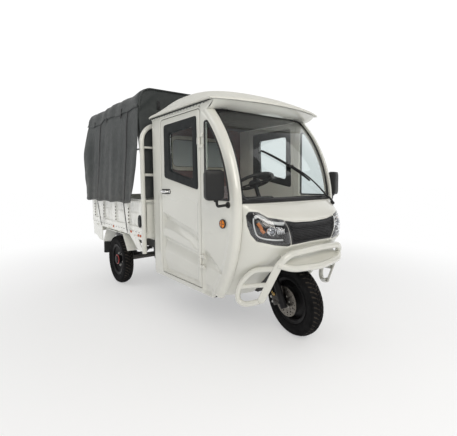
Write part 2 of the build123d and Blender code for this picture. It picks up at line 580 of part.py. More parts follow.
# rear wall with its window
REAR_WIN = (-330.0, 330.0, 1250.0, 1505.0)       # y0, y1, z0, z1
with BuildPart() as rear_wall:
    add(box(CAB_REAR + 0.2, CAB_REAR + 24, -CAB_HALF_W + WALL + 0.3, CAB_HALF_W - WALL - 0.3, SILL_Z + FLOOR_T + 0.3, GUTTER_Z))
    with BuildSketch(Plane.YZ.offset(CAB_REAR - 10)):
        with Locations((0, (REAR_WIN[2] + REAR_WIN[3]) / 2)):
            RectangleRounded(REAR_WIN[1] - REAR_WIN[0], REAR_WIN[3] - REAR_WIN[2], 60)
    extrude(amount=60, mode=Mode.SUBTRACT)
save(rear_wall.part, "cab_rear_wall")
with BuildPart() as rear_glass:
    with BuildSketch(Plane.YZ.offset(CAB_REAR + 8)):
        with Locations((0, (REAR_WIN[2] + REAR_WIN[3]) / 2)):
            RectangleRounded(REAR_WIN[1] - REAR_WIN[0] - 1, REAR_WIN[3] - REAR_WIN[2] - 1, 59.5)
    extrude(amount=6)
save(group(both(quarter.part), rear_glass.part), "cab_glass")

# roof: domed lid with rounded shoulders and an overhanging front visor
ROOF_HALF_W, ROOF_RISE, ROOF_SQUARE, ROOF_LIP = 565.0, 154.0, 4.66, 16.0
ROOF_NOSE, ROOF_CORNER = 118.0, 1826.0           # how far the visor's middle runs ahead of its corners
ROOF_BACK, ROOF_BACK_RUN, ROOF_FRONT_RUN = 905.0, 329.0, 537.0
ROOF = [  # station, underside height
    (858, 1657), (900, 1657), (950, 1657), (1020, 1657), (1110, 1657), (1234, 1657), (1408, 1657), (1560, 1657),
    (1680, 1657), (1780, 1656), (1860, 1654), (1945, 1650)]


def roof_rise(a, y):
    """Height of the dome over the lip at station a."""
    front = ROOF_CORNER + ROOF_NOSE * (1 - (y / 560) ** 2)
    back = 1 - max(0, min(1, 1 - (a - ROOF_BACK) / ROOF_BACK_RUN)) ** 1.45
    ahead = 1 - max(0, min(1, 1 - (front - a) / ROOF_FRONT_RUN)) ** 1.69
    return ROOF_RISE * (1 - abs(y / ROOF_HALF_W) ** ROOF_SQUARE) * back * ahead


def roof_loft(rows, inset, drop, sink):
    w = ROOF_HALF_W - inset
    with BuildPart() as made:
        for a, z0 in rows:
            top = [(w * r, z0 + ROOF_LIP - drop + roof_rise(a, w * r)) for r in (0.94, 0.84, 0.66, 0.36, 0, -0.36, -0.66, -0.84, -0.94)]
            with BuildSketch(Plane(origin=(st(a), 0, 0), x_dir=(0, 1, 0), z_dir=(1, 0, 0))):
                with BuildLine():
                    k = Polyline((-w, z0 + ROOF_LIP - drop), (-w, z0 - sink), (w, z0 - sink), (w, z0 + ROOF_LIP - drop))
                    Spline(k @ 1, *top, k @ 0)
                make_face()
        loft()
    return made.part


with BuildPart() as roof:
    add(roof_loft(ROOF, 0, 0, 0))
    with BuildSketch(Plane.XY.offset(1600)) as plan:
        with BuildLine():
            k = Polyline((st(ROOF_CORNER), -570), (st(858), -570), (st(858), 570), (st(ROOF_CORNER), 570))
            ThreePointArc(k @ 1, (st(ROOF_CORNER + ROOF_NOSE), 0), k @ 0)
        make_face()
        fillet(plan.vertices().group_by(Axis.X)[0], 100)
    extrude(amount=300, mode=Mode.INTERSECT)
    add(roof_loft([r for r in ROOF if 940 < r[0] < 1700], 72, 26, 40), mode=Mode.SUBTRACT)
save(roof.part, "roof")

# =====================================================================================
# Nose: lofted plan sections, with lamps and grille let into it
# =====================================================================================
NOSE_W, NOSE_MID, NOSE_KNEE = PILLAR_Y - 0.8, 380.0, 440.0
NOSE = [  # height, station at the side edge, station at the middle, squareness in plan
    (320, 1812, 1905, 4), (470, 1902, 2020, 4), (610, 1978, 2172, 4.5), (700, 2004, 2218, 6.5), (790, 2020, 2228, 7), (870, 2028, 2196, 7), (962, 2027, 2086, 6)]


def nose_loft(inset, z_shift):
    with BuildPart() as made:
        for z, xs, xm, n in NOSE:
            w = NOSE_W - inset

            def fx(y, xs=xs, xm=xm, n=n):
                return st(xs + (xm - xs) * (1 - (abs(y) / NOSE_W) ** n)) - inset

            with BuildSketch(Plane.XY.offset(z + z_shift)):
                with BuildLine():
                    k = Polyline((st(xs) - inset, w), (st(xs) - 80 - 3 * inset, w), (st(xs) - 80 - 3 * inset, -w), (st(xs) - inset, -w))
                    c1 = ThreePointArc(k @ 1, (fx(NOSE_KNEE), -NOSE_KNEE + inset), (fx(NOSE_MID), -NOSE_MID + inset))
                    c2 = ThreePointArc(c1 @ 1, (fx(0), 0), (fx(NOSE_MID), NOSE_MID - inset))
                    ThreePointArc(c2 @ 1, (fx(NOSE_KNEE), NOSE_KNEE - inset), k @ 0)
                make_face()
        loft()
    return made.part


LAMP = [(-456, 896), (-443, 921), (-402, 918), (-364, 885), (-264, 865), (-215, 701), (-245, 698), (-341, 714), (-425, 737), (-444, 777), (-454, 833)]   # y, z of the right lamp
GRILLE = [(-260, 861), (-168, 845), (0, 838), (168, 845), (260, 861), (211, 704), (0, 708), (-211, 704)]


def lamp_prism(points, grow):
    with BuildPart() as made:
        with BuildSketch(Plane.YZ.offset(st(1850))):
            Polygon(*points, align=None)
            if grow:
                offset(amount=grow)
        extrude(amount=500)
    return made.part


nose_outer, nose_inner = nose_loft(0, 0), nose_loft(24, -24)
ARCH = [(-240, 200), (-240, 330), (-205, 420), (-205, 560), (-160, 606), (160, 606), (205, 560), (205, 420), (240, 330), (240, 200)]   # y, z of the wheel opening
with BuildPart() as nose:
    add(nose_outer)
    add(nose_inner, mode=Mode.SUBTRACT)
    with BuildSketch(Plane.YZ.offset(st(1650))):
        Polygon(*ARCH, align=None)
    extrude(amount=750, mode=Mode.SUBTRACT)
    for s in (-1, 1):
        add(lamp_prism([(-s * y, z) for y, z in LAMP], 1.5), mode=Mode.SUBTRACT)
    add(lamp_prism(GRILLE, 1.0), mode=Mode.SUBTRACT)
    with BuildSketch(steer_plane(400)):
        Circle(COLUMN_R + 14)
    extrude(amount=500, mode=Mode.SUBTRACT)
save(nose.part, "nose_fascia")

with BuildPart() as lamp:
    add(nose_outer)
    add(lamp_prism(LAMP, 0), mode=Mode.INTERSECT)
    with Locations((-60, 0, 0)):
        add(nose_outer, mode=Mode.SUBTRACT)
save(both(lamp.part), "headlamps")

with BuildPart() as grille:
    with Locations((-5, 0, 0)):
        add(nose_outer)
    add(lamp_prism(GRILLE, 0), mode=Mode.INTERSECT)
    with Locations((-30, 0, 0)):
        add(nose_outer, mode=Mode.SUBTRACT)
save(grille.part, "grille")

# bumper: an upper and a bowed lower tube, a shelf between, and a guard loop at each corner
BUMPER_R, GUARD_TUBE_R = 22.0, 19.0
UPPER = [(2210, -330, 592), (2240, -270, 652), (2262, 0, 667), (2240, 270, 652), (2210, 330, 592)]       # station, y, z
LOWER = [(2210, -330, 588), (2258, -246, 560), (2290, 0, 548), (2258, 246, 560), (2210, 330, 588)]
LOOP = [(2170, -310, 558), (2048, -390, 530), (1986, -440, 455), (1960, -455, 345), (1994, -432, 304), (2052, -400, 328)]
MID_BAR = [(1994, -434, 424), (2120, -348, 450)]
STRIP = [(2206, -312, 586), (2063, -391, 328)]   # inner flat strip, top and bottom


def at(row):
    return (st(row[0]), row[1], row[2])


upper = tube([at(p) for p in UPPER], [180, 300, 180], BUMPER_R)
lower = tube([at(p) for p in LOWER], [260, 420, 260], BUMPER_R)
loop = tube([at(p) for p in LOOP], [170, 160, 48, 40], GUARD_TUBE_R)
mid = tube([at(p) for p in MID_BAR], 0, 15)
top_pt, low_pt = Vector(*at(STRIP[0])), Vector(*at(STRIP[1]))
run = (top_pt - low_pt)
with BuildPart() as strip:
    with BuildSketch(Plane(origin=low_pt, z_dir=run, x_dir=run.cross(Vector(0.83, -0.56, 0)))):
        RectangleRounded(50, 10, 4)
    extrude(amount=run.length)
with BuildPart() as shelf:
    add(plate([(st(2190), 640), (st(2256), 566), (st(2264), 572), (st(2198), 646)], -262, 262))
with BuildPart() as bumper:
    add(upper)
    add(lower)
    add(shelf.part)
    for s in (0, 1):
        for piece in (loop, mid, strip.part):
            add(mirror(piece, about=Plane.XZ) if s else piece)
    add(nose_outer, mode=Mode.SUBTRACT)
    with Locations((3, 0, 0)):
        add(nose_outer, mode=Mode.SUBTRACT)
save(bumper.part, "front_bumper")

# =====================================================================================
# Doors
# =====================================================================================
FRAME_OUT = [(1096, 1578), (1588, 1584), (1602, 1052), (1094, 1150)]    # station, z: black window surround
FRAME_IN = [(1182, 1506), (1536, 1514), (1536, 1124), (1196, 1202)]     # clear glass


def outline(points, corner, grow=0.0):
    with BuildSketch() as made:
        Polygon(*[(st(a), z) for a, z in points], align=None)
        if grow:
            offset(amount=grow)
        fillet(made.vertices(), corner)
    return made.sketch


with BuildPart() as door:
    with BuildSketch(Plane.XZ.offset(CAB_HALF_W - WALL)):
        with BuildLine():
            Polyline((DOOR_X0, DOOR_Z0), (DOOR_X1, DOOR_Z0), (DOOR_X1, DOOR_Z1), (DOOR_X0, DOOR_Z1), close=True)
        make_face()
        with BuildSketch(mode=Mode.SUBTRACT):
            add(outline(FRAME_OUT, 26))
    extrude(amount=WALL)
    for z in HINGE_Z:                            # middle knuckle and leaf of each hinge
        with BuildSketch(Plane.XY.offset(z - 24)):
            with Locations((HINGE_X, -HINGE_Y)):
                Circle(HINGE_R)
        extrude(amount=48)
        add(box(HINGE_X - 30, HINGE_X, -HINGE_Y - 1, -CAB_HALF_W, z - 24, z + 24))
        with BuildSketch(Plane.XY.offset(z - 40)):
            with Locations((HINGE_X, -HINGE_Y)):
                Circle(HINGE_PIN_R + RUN)
        extrude(amount=80, mode=Mode.SUBTRACT)
with BuildPart() as surround:
    with BuildSketch(Plane.XZ.offset(CAB_HALF_W - WALL + 4)):
        add(outline(FRAME_OUT, 26, -0.4))
        with BuildSketch(mode=Mode.SUBTRACT):
            add(outline(FRAME_IN, 22))
    extrude(amount=WALL)
with BuildPart() as pane:
    with BuildSketch(Plane.XZ.offset(CAB_HALF_W - 18)):
        add(outline(FRAME_IN, 22, -0.4))
    extrude(amount=5)
with BuildPart() as handle:
    add(box(st(1062), st(1180), -CAB_HALF_W - 34, -CAB_HALF_W - 20, 1022, 1046))
    fillet(handle.edges().filter_by(Axis.X), 5)
    for a in (1066, 1152):
        add(box(st(a), st(a + 24), -CAB_HALF_W - 22, -CAB_HALF_W - 0.2, 1024, 1044))
for name, piece in (("door_panel", door), ("door_surround", surround), ("door_glass", pane), ("door_handle", handle)):
    save(piece.part, f"{name}_right")
    save(mirror(piece.part, about=Plane.XZ), f"{name}_left")

# =====================================================================================
# Cab fittings
# =====================================================================================
with BuildPart() as dash:
    with BuildSketch(Plane.XZ.offset(-445)):
        Polygon(*[(st(a), z) for a, z in ((1590, 800.4), (1940, 800.4), (1975, 905), (1700, 936), (1610, 890))], align=None)
    extrude(amount=890)
    fillet(dash.edges().filter_by(Axis.Y).sort_by(Axis.Z)[-2:], 22)
    with BuildSketch(steer_plane(400)):
        Circle(COLUMN_R + 10)
    extrude(amount=500, mode=Mode.SUBTRACT)
save(dash.part, "dashboard")

SEAT_X0, SEAT_X1, SEAT_HALF_W = st(925), st(1270), 440.0
with BuildPart() as seat_base:
    add(box(SEAT_X0, SEAT_X1, -SEAT_HALF_W, SEAT_HALF_W, SILL_Z + FLOOR_T + 0.3, 600))
    add(box(SEAT_X0 + 12, SEAT_X1 - 12, -SEAT_HALF_W + 12, SEAT_HALF_W - 12, SILL_Z, 588), mode=Mode.SUBTRACT)
save(seat_base.part, "seat_base")
save(box(SEAT_X0 + 40, SEAT_X1 - 40, -330, 330, SILL_Z + FLOOR_T + 0.5, 540), "battery_pack")
with BuildPart() as cushion:
    add(box(SEAT_X0 + 6, SEAT_X1 + 24, -SEAT_HALF_W, SEAT_HALF_W, 600.5, 690))
    fillet(cushion.edges().filter_by(Axis.Y), 26)
with BuildPart() as back:
    add(plate([(st(908), 700), (st(978), 700), (st(950), 1100), (st(908), 1100)], -SEAT_HALF_W, SEAT_HALF_W))
    fillet(back.edges().filter_by(Axis.Y).sort_by(Axis.Z)[-2:], 18)
save(group(cushion.part, back.part), "seat_cushions")

MIRROR_X, MIRROR_Y, MIRROR_W, MIRROR_D, MIRROR_TOE = st(1952), -629.0, 122.0, 56.0, -20.0
MIRROR_Z0, MIRROR_Z1 = 995.0, 1187.0
with BuildPart() as mirror_shell:
    add(box(MIRROR_X - MIRROR_D / 2, MIRROR_X + MIRROR_D / 2, MIRROR_Y - MIRROR_W / 2, MIRROR_Y + MIRROR_W / 2, MIRROR_Z0, MIRROR_Z1))
    fillet(mirror_shell.edges().filter_by(Axis.X), 26)
    fillet(mirror_shell.faces().sort_by(Axis.X)[-1].edges(), 16)
with BuildPart() as mirror_head:
    add(mirror_shell.part.rotate(Axis((MIRROR_X, MIRROR_Y, 0), (0, 0, 1)), MIRROR_TOE))
    add(tube([(st(1950), -CAB_HALF_W - 1.0, 962), (st(1952), -600, 958), (st(1952), -614, 1002)], 14, 9))
save(both(mirror_head.part), "mirrors")

with BuildPart() as indicator:
    with BuildSketch(Plane.XZ.offset(CAB_HALF_W + 0.2)):
        with Locations((st(1892), 835)):
            Circle(30)
    extrude(amount=14)
    chamfer(indicator.edges().group_by(Axis.Y)[0], 5)
save(both(indicator.part), "side_indicators")


def on_glass(y, angle, lift):
    """A point lifted off the windscreen's outside."""
    r = ARC_R_FRONT - 20 + GLASS_BULGE * (1 - (y / PILLAR_Y) ** 2) + lift
    t = math.radians(angle)
    return (ARC_X + r * math.cos(t), y, ARC_Z + r * math.sin(t))


with BuildPart() as wiper:
    p0, p1, p2 = on_glass(400, 5.2, 24), on_glass(130, 13.4, 34), on_glass(-239, 23.6, 18)
    add(tube([p0, p1, p2], 600, 6))
    with BuildSketch(Plane(origin=(p0[0], p0[1], 962.4))):
        Circle(16)
    extrude(amount=p0[2] - 955)
save(wiper.part, "wiper")
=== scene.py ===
import math

import bmesh
import bpy
import numpy as np
from mathutils import Matrix, Vector


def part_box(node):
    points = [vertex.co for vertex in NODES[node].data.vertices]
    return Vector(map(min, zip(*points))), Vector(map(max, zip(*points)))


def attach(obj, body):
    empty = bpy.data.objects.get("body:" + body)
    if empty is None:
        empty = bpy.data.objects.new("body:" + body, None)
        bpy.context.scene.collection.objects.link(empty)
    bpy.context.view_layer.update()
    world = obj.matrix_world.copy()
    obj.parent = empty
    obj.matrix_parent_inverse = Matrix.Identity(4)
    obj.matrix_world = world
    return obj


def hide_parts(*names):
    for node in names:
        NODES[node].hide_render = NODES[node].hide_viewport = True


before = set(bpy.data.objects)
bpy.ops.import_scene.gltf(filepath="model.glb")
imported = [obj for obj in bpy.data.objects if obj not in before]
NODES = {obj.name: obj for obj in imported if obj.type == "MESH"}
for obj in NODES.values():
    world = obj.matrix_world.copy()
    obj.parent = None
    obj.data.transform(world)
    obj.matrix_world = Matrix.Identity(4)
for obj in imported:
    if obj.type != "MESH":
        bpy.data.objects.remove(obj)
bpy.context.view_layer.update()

XR = -0.771                      # rear axle; stations are measured ahead of it


def st(a):
    return XR + a


# ------------------------------------------------------------------------------------
# materials
# ------------------------------------------------------------------------------------
def new_mat(name):
    m = bpy.data.materials.new(name)
    m.use_nodes = True
    nt = m.node_tree
    nt.nodes.clear()
    out = nt.nodes.new("ShaderNodeOutputMaterial")
    b = nt.nodes.new("ShaderNodeBsdfPrincipled")
    nt.links.new(b.outputs[0], out.inputs[0])
    return m, nt, b


def coords(nt, scale=(1, 1, 1)):
    tc = nt.nodes.new("ShaderNodeTexCoord")
    mp = nt.nodes.new("ShaderNodeMapping")
    mp.inputs["Scale"].default_value = scale
    nt.links.new(tc.outputs["Object"], mp.inputs["Vector"])
    return mp.outputs["Vector"]


def noise(nt, vec, scale, detail=4.0, rough=0.55):
    n = nt.nodes.new("ShaderNodeTexNoise")
    n.inputs["Scale"].default_value = scale
    n.inputs["Detail"].default_value = detail
    n.inputs["Roughness"].default_value = rough
    nt.links.new(vec, n.inputs["Vector"])
    return n.outputs["Fac"]


def span(nt, fac, lo, hi, a=0.3, b=0.7):
    r = nt.nodes.new("ShaderNodeMapRange")
    r.inputs["From Min"].default_value = a
    r.inputs["From Max"].default_value = b
    r.inputs["To Min"].default_value = lo
    r.inputs["To Max"].default_value = hi
    nt.links.new(fac, r.inputs["Value"])
    return r.outputs["Result"]


def two_tone(nt, fac, c0, c1):
    m = nt.nodes.new("ShaderNodeMix")
    m.data_type = "RGBA"
    m.inputs["A"].default_value = (*c0, 1)
    m.inputs["B"].default_value = (*c1, 1)
    nt.links.new(fac, m.inputs["Factor"])
    return m.outputs["Result"]


def mixed(nt, fac, col, c1):
    """col where fac is 0, the fixed colour c1 where it is 1."""
    m = nt.nodes.new("ShaderNodeMix")
    m.data_type = "RGBA"
    m.inputs["B"].default_value = (*c1, 1)
    nt.links.new(col, m.inputs["A"])
    nt.links.new(fac, m.inputs["Factor"])
    return m.outputs["Result"]


def bump(nt, b, height, strength, distance):
    n = nt.nodes.new("ShaderNodeBump")
    n.inputs["Strength"].default_value = strength
    n.inputs["Distance"].default_value = distance
    nt.links.new(height, n.inputs["Height"])
    nt.links.new(n.outputs["Normal"], b.inputs["Normal"])
    return n


def math_node(nt, op, a, b):
    n = nt.nodes.new("ShaderNodeMath")
    n.operation = op
    for i, v in enumerate((a, b)):
        if isinstance(v, (int, float)):
            n.inputs[i].default_value = v
        else:
            nt.links.new(v, n.inputs[i])
    return n.outputs[0]


def low_dirt(nt, z0, z1):
    """1 at height z0 falling to 0 at z1, broken up with noise: road dust low down."""
    g = nt.nodes.new("ShaderNodeNewGeometry")
    s = nt.nodes.new("ShaderNodeSeparateXYZ")
    nt.links.new(g.outputs["Position"], s.inputs[0])
    f = span(nt, s.outputs["Z"], 1.0, 0.0, z0, z1)
    n = noise(nt, coords(nt), 14, 6, 0.7)
    return math_node(nt, "MULTIPLY", f, span(nt, n, 0.0, 1.0, 0.35, 0.75))


def paint(name, base, rough=0.22, var=0.03, coat=0.7, dirt=None, peel=0.03):
    """Gloss enamel: faint shade drift, orange peel under a clear coat, optional dust low down."""
    m, nt, b = new_mat(name)
    v = coords(nt)
    col = two_tone(nt, span(nt, noise(nt, v, 2.3, 3), 0, 1), tuple(c * (1 - var) for c in base), tuple(min(1, c * (1 + var)) for c in base))
    if dirt:
        col = mixed(nt, math_node(nt, "MULTIPLY", low_dirt(nt, *dirt[:2]), dirt[3]), col, dirt[2])
    nt.links.new(col, b.inputs["Base Color"])
    nt.links.new(span(nt, noise(nt, v, 9, 5), rough * 0.75, rough * 1.35), b.inputs["Roughness"])
    b.inputs["Coat Weight"].default_value = coat
    b.inputs["Coat Roughness"].default_value = 0.06
    bump(nt, b, noise(nt, v, 260, 2), peel, 0.002)
    return m


def plastic(name, base, rough=0.45, grain=0.12, scale=900, var=0.15, spec=0.5):
    m, nt, b = new_mat(name)
    b.inputs["Specular IOR Level"].default_value = spec
    v = coords(nt)
    col = two_tone(nt, span(nt, noise(nt, v, 7, 4), 0, 1), tuple(c * (1 - var) for c in base), tuple(min(1, c * (1 + var)) for c in base))
    nt.links.new(col, b.inputs["Base Color"])
    nt.links.new(span(nt, noise(nt, v, 22, 5), rough * 0.8, rough * 1.2), b.inputs["Roughness"])
    bump(nt, b, noise(nt, v, scale, 2), grain, 0.001)
    return m


def metal(name, base, rough=0.3, var=0.1, scratch=(1, 1, 1), scale=60, grain=0.08, stain=None):
    m, nt, b = new_mat(name)
    v = coords(nt, scratch)
    f = span(nt, noise(nt, v, scale, 5, 0.65), 0, 1)
    col = two_tone(nt, f, tuple(c * (1 - var) for c in base), tuple(min(1, c * (1 + var)) for c in base))
    if stain:
        col = mixed(nt, span(nt, noise(nt, coords(nt), 11, 6, 0.7), 0, stain[3], 0.5, 0.75), col, stain[:3])
    nt.links.new(col, b.inputs["Base Color"])
    b.inputs["Metallic"].default_value = 1.0
    nt.links.new(span(nt, noise(nt, v, scale * 0.6, 4), rough * 0.75, rough * 1.3), b.inputs["Roughness"])
    bump(nt, b, noise(nt, v, scale * 3, 3), grain, 0.001)
    return m


def glass(name, tint, rough=0.0, ior=1.45):
    m, nt, b = new_mat(name)
    v = coords(nt)
    col = two_tone(nt, span(nt, noise(nt, v, 3, 2), 0, 1), tuple(c * 0.985 for c in tint), tint)
    nt.links.new(col, b.inputs["Base Color"])
    b.inputs["Transmission Weight"].default_value = 1.0
    b.inputs["IOR"].default_value = ior
    nt.links.new(span(nt, noise(nt, v, 16, 5), rough, rough + 0.02), b.inputs["Roughness"])
    return m


M = {}
M["white"] = paint("white_enamel", (0.672, 0.672, 0.618), 0.2, dirt=(0.28, 0.62, (0.50, 0.47, 0.42), 0.18))
M["gel"] = paint("roof_gelcoat", (0.69, 0.69, 0.64), 0.55, coat=0.0, peel=0.05)
M["gel"].node_tree.nodes["Principled BSDF"].inputs["Specular IOR Level"].default_value = 0.22
# bed enamel is lighter than the cab's white enamel: painted light, making up for the shade the tarp casts on the bed's
# boards
M["bed"] = paint("bed_enamel", (0.87, 0.872, 0.815), 0.26, dirt=(0.40, 0.75, (0.45, 0.42, 0.37), 0.2))
M["frame"] = paint("frame_black", (0.010, 0.010, 0.011), 0.46, coat=0.05, var=0.25, dirt=(0.1, 0.6, (0.07, 0.06, 0.05), 0.35))
M["rim"] = paint("rim_black", (0.008, 0.008, 0.009), 0.46, coat=0.08, var=0.2, dirt=(0.0, 0.5, (0.06, 0.052, 0.045), 0.2))
M["rim"].node_tree.nodes["Principled BSDF"].inputs["Specular IOR Level"].default_value = 0.15
M["black"] = plastic("black_plastic", (0.014, 0.0145, 0.015), 0.46, spec=0.3)
M["trim"] = plastic("slate_trim", (0.011, 0.0135, 0.0145), 0.5, grain=0.05, spec=0.2)
M["gloss_black"] = plastic("gloss_black", (0.012, 0.012, 0.013), 0.14, grain=0.01)
M["seal"] = plastic("seal_rubber", (0.014, 0.014, 0.015), 0.6)
M["flap"] = plastic("flap_rubber", (0.02, 0.02, 0.02), 0.7, grain=0.3, scale=220)
M["steel"] = metal("turned_steel", (0.21, 0.195, 0.175), 0.36, stain=(0.12, 0.085, 0.055, 0.5))
M["chrome"] = metal("chrome_plate", (0.82, 0.82, 0.82), 0.07, var=0.02, grain=0.01)
M["alloy"] = metal("cast_alloy", (0.52, 0.52, 0.53), 0.42, grain=0.2)
M["cast"] = metal("cast_housing", (0.10, 0.095, 0.09), 0.55, grain=0.35, var=0.25)
M["brass"] = metal("brass_fitting", (0.72, 0.50, 0.20), 0.28)
M["galv"] = metal("plated_steel", (0.62, 0.62, 0.60), 0.32, var=0.12, scale=90)
M["glass"] = glass("window_glass", (0.93, 0.96, 0.955))
M["tint"] = glass("door_glass", (0.74, 0.80, 0.80))
M["lens"] = glass("lamp_lens", (0.97, 0.98, 0.99))
M["red"] = plastic("red_lens", (0.42, 0.012, 0.012), 0.12, grain=0.02)
M["amber"] = plastic("amber_lens", (0.80, 0.24, 0.015), 0.14, grain=0.02)
M["tyre"] = plastic("tyre_rubber", (0.0065, 0.0065, 0.007), 0.84, grain=0.2, scale=420, var=0.3)
M["tyre"].node_tree.nodes["Principled BSDF"].inputs["Specular IOR Level"].default_value = 0.16
M["vinyl"] = plastic("seat_vinyl", (0.10, 0.036, 0.026), 0.42, grain=0.35, scale=420)
M["lining"] = plastic("cab_lining", (0.10, 0.030, 0.024), 0.6, grain=0.3, scale=300)
M["head"] = plastic("head_lining", (0.055, 0.055, 0.056), 0.8, grain=0.25, scale=350)
M["mat"] = plastic("floor_mat", (0.03, 0.03, 0.031), 0.75, grain=0.4, scale=160)
M["battery"] = plastic("battery_case", (0.03, 0.03, 0.032), 0.5)

NODE_MAT = {
    "chassis_frame": "frame", "rear_axle": "cast", "drive_motor": "alloy", "leaf_springs": "frame", "bed_floor": "bed", "bed_sides": "bed",
    "bed_front_board": "bed", "headboard_guard": "white", "canopy_frame": "galv", "tarpaulin": "black", "rear_fenders": "bed", "mud_flaps": "flap",
    "bed_skirts": "bed", "rear_light_bar": "bed", "tail_lamps": "red", "cab_floor": "mat", "cab_sides": "white", "windscreen_frame": "white",
    "cab_rear_wall": "lining", "cab_glass": "glass", "windscreen": "glass", "roof": "white", "nose_fascia": "white", "headlamps": "lens", "grille": "trim",
    "front_bumper": "white", "dashboard": "black", "seat_base": "black", "seat_cushions": "vinyl", "battery_pack": "battery", "mirrors": "black",
    "side_indicators": "amber", "wiper": "black", "tailgate": "bed", "front_fork": "rim", "steering_wheel": "black", "brake_caliper": "cast",
    "front_rim": "rim", "front_tyre": "tyre", "brake_disc": "steel"}
for s in ("left", "right"):
    NODE_MAT.update({f"door_panel_{s}": "white", f"door_surround_{s}": "trim", f"door_glass_{s}": "tint", f"door_handle_{s}": "chrome", f"rear_rim_{s}": "rim", f"rear_tyre_{s}": "tyre"})
for n, o in NODES.items():
    o.data.materials.clear()
    o.data.materials.append(M[NODE_MAT[n]])

# ------------------------------------------------------------------------------------
# camera, floor, light
# ------------------------------------------------------------------------------------
YAW, PITCH, ROLL = math.radians(38.243), math.radians(4.345), math.radians(-0.492)
fw = Vector((-math.cos(YAW) * math.cos(PITCH), math.sin(YAW) * math.cos(PITCH), -math.sin(PITCH)))
rt = fw.cross(Vector((0, 0, 1))).normalized()
up = rt.cross(fw)
r2 = rt * math.cos(ROLL) + up * math.sin(ROLL)
u2 = up * math.cos(ROLL) - rt * math.sin(ROLL)
cam_data = bpy.data.cameras.new("camera")
cam = bpy.data.objects.new("camera", cam_data)
bpy.context.scene.collection.objects.link(cam)
cam.matrix_world = Matrix(((r2.x, u2.x, -fw.x, st(3.611)), (r2.y, u2.y, -fw.y, -1.840), (r2.z, u2.z, -fw.z, 1.113), (0, 0, 0, 1)))
cam_data.sensor_width = 36
cam_data.lens = 36 * 332.407 / 457
cam_data.shift_x = (228.5 - 226.559) / 457
cam_data.shift_y = (206.665 - 218) / 457
cam_data.clip_start, cam_data.clip_end = 0.05, 200
bpy.context.scene.camera = cam

floor_mesh = bpy.data.meshes.new("floor")
floor_mesh.from_pydata([(-60, -60, 0), (60, -60, 0), (60, 60, 0), (-60, 60, 0)], [], [(0, 1, 2, 3)])
floor = bpy.data.objects.new("floor", floor_mesh)
bpy.context.scene.collection.objects.link(floor)
fm, fnt, fb = new_mat("floor_pale")
fv = coords(fnt)
fnt.links.new(two_tone(fnt, noise(fnt, fv, 0.4, 3), (0.90, 0.90, 0.90), (0.92, 0.92, 0.92)), fb.inputs["Base Color"])
fb.inputs["Roughness"].default_value = 0.9
fb.inputs["Specular IOR Level"].default_value = 0.1
far = fnt.nodes.new("ShaderNodeVectorMath")             # distance from the object, where the floor turns into the backdrop
far.operation = "LENGTH"
fnt.links.new(fv, far.inputs[0])
glow = fnt.nodes.new("ShaderNodeEmission")
both = fnt.nodes.new("ShaderNodeMixShader")
fade = fnt.nodes.new("ShaderNodeMapRange")
fade.interpolation_type = "SMOOTHSTEP"
fade.inputs["From Min"].default_value, fade.inputs["From Max"].default_value = 1.3, 4.2
fade.inputs["To Min"].default_value, fade.inputs["To Max"].default_value = 0.44, 1.0
fnt.links.new(far.outputs["Value"], fade.inputs["Value"])
fnt.links.new(fade.outputs["Result"], both.inputs[0])
fnt.links.new(fb.outputs[0], both.inputs[1])
fnt.links.new(glow.outputs[0], both.inputs[2])
fnt.links.new(both.outputs[0], next(n for n in fnt.nodes if n.type == "OUTPUT_MATERIAL").inputs[0])
floor_mesh.materials.append(fm)

world = bpy.data.worlds.new("studio")
bpy.context.scene.world = world
world.use_nodes = True
wn = world.node_tree
bg = next(n for n in wn.nodes if n.type == "BACKGROUND")
wtc = wn.nodes.new("ShaderNodeTexCoord")
wdot = wn.nodes.new("ShaderNodeVectorMath")
wdot.operation = "DOT_PRODUCT"
wdot.inputs[1].default_value = (-0.785, 0.619, 0.0)      # towards the bright backdrop
wn.links.new(wtc.outputs["Generated"], wdot.inputs[0])
wr = wn.nodes.new("ShaderNodeMapRange")
wr.interpolation_type = "SMOOTHSTEP"
wr.inputs["From Min"].default_value, wr.inputs["From Max"].default_value = 0.28, 0.72
wr.inputs["To Min"].default_value, wr.inputs["To Max"].default_value = 0.22, 1.04
wn.links.new(wdot.outputs["Value"], wr.inputs["Value"])
sep = wn.nodes.new("ShaderNodeSeparateXYZ")
wn.links.new(wtc.outputs["Generated"], sep.inputs[0])
sky = wn.nodes.new("ShaderNodeMapRange")                 # softer light from overhead
sky.inputs["From Min"].default_value, sky.inputs["From Max"].default_value = 0.25, 1.0
sky.inputs["To Min"].default_value, sky.inputs["To Max"].default_value = 0.0, 0.36
wn.links.new(sep.outputs["Z"], sky.inputs["Value"])
wn.links.new(math_node(wn, "ADD", wr.outputs["Result"], sky.outputs["Result"]), bg.inputs["Strength"])
bg.inputs["Color"].default_value = (1, 1, 1, 1)


def area(name, loc, target, size, power, colour=(1, 1, 1)):
    d = bpy.data.lights.new(name, "AREA")
    d.shape = "RECTANGLE"
    d.size, d.size_y = size
    d.energy = power
    d.color = colour
    o = bpy.data.objects.new(name, d)
    bpy.context.scene.collection.objects.link(o)
    o.location = loc
    o.rotation_euler = (Vector(target) - Vector(loc)).to_track_quat("-Z", "Y").to_euler()
    return o


area("top_light", (4.5, -1.7, 3.1), (0.8, 0, 0.9), (3.4, 2.2), 98, (1.0, 0.955, 0.885))
area("key_light", (3.4, 3.2, 3.6), (0.6, 0, 0.8), (2.6, 2.2), 14)
area("side_light", (-1.9, -3.8, 3.3), (-1.3, 0, 0.6), (3.4, 2.0), 34)
view = bpy.context.scene.view_settings
view.view_transform = "Standard"
view.look = "None"

# ------------------------------------------------------------------------------------
# mesh helpers
# ------------------------------------------------------------------------------------
def P(a, y, z):
    """A point given by its station ahead of the rear axle."""
    return (a + XR, y, z)


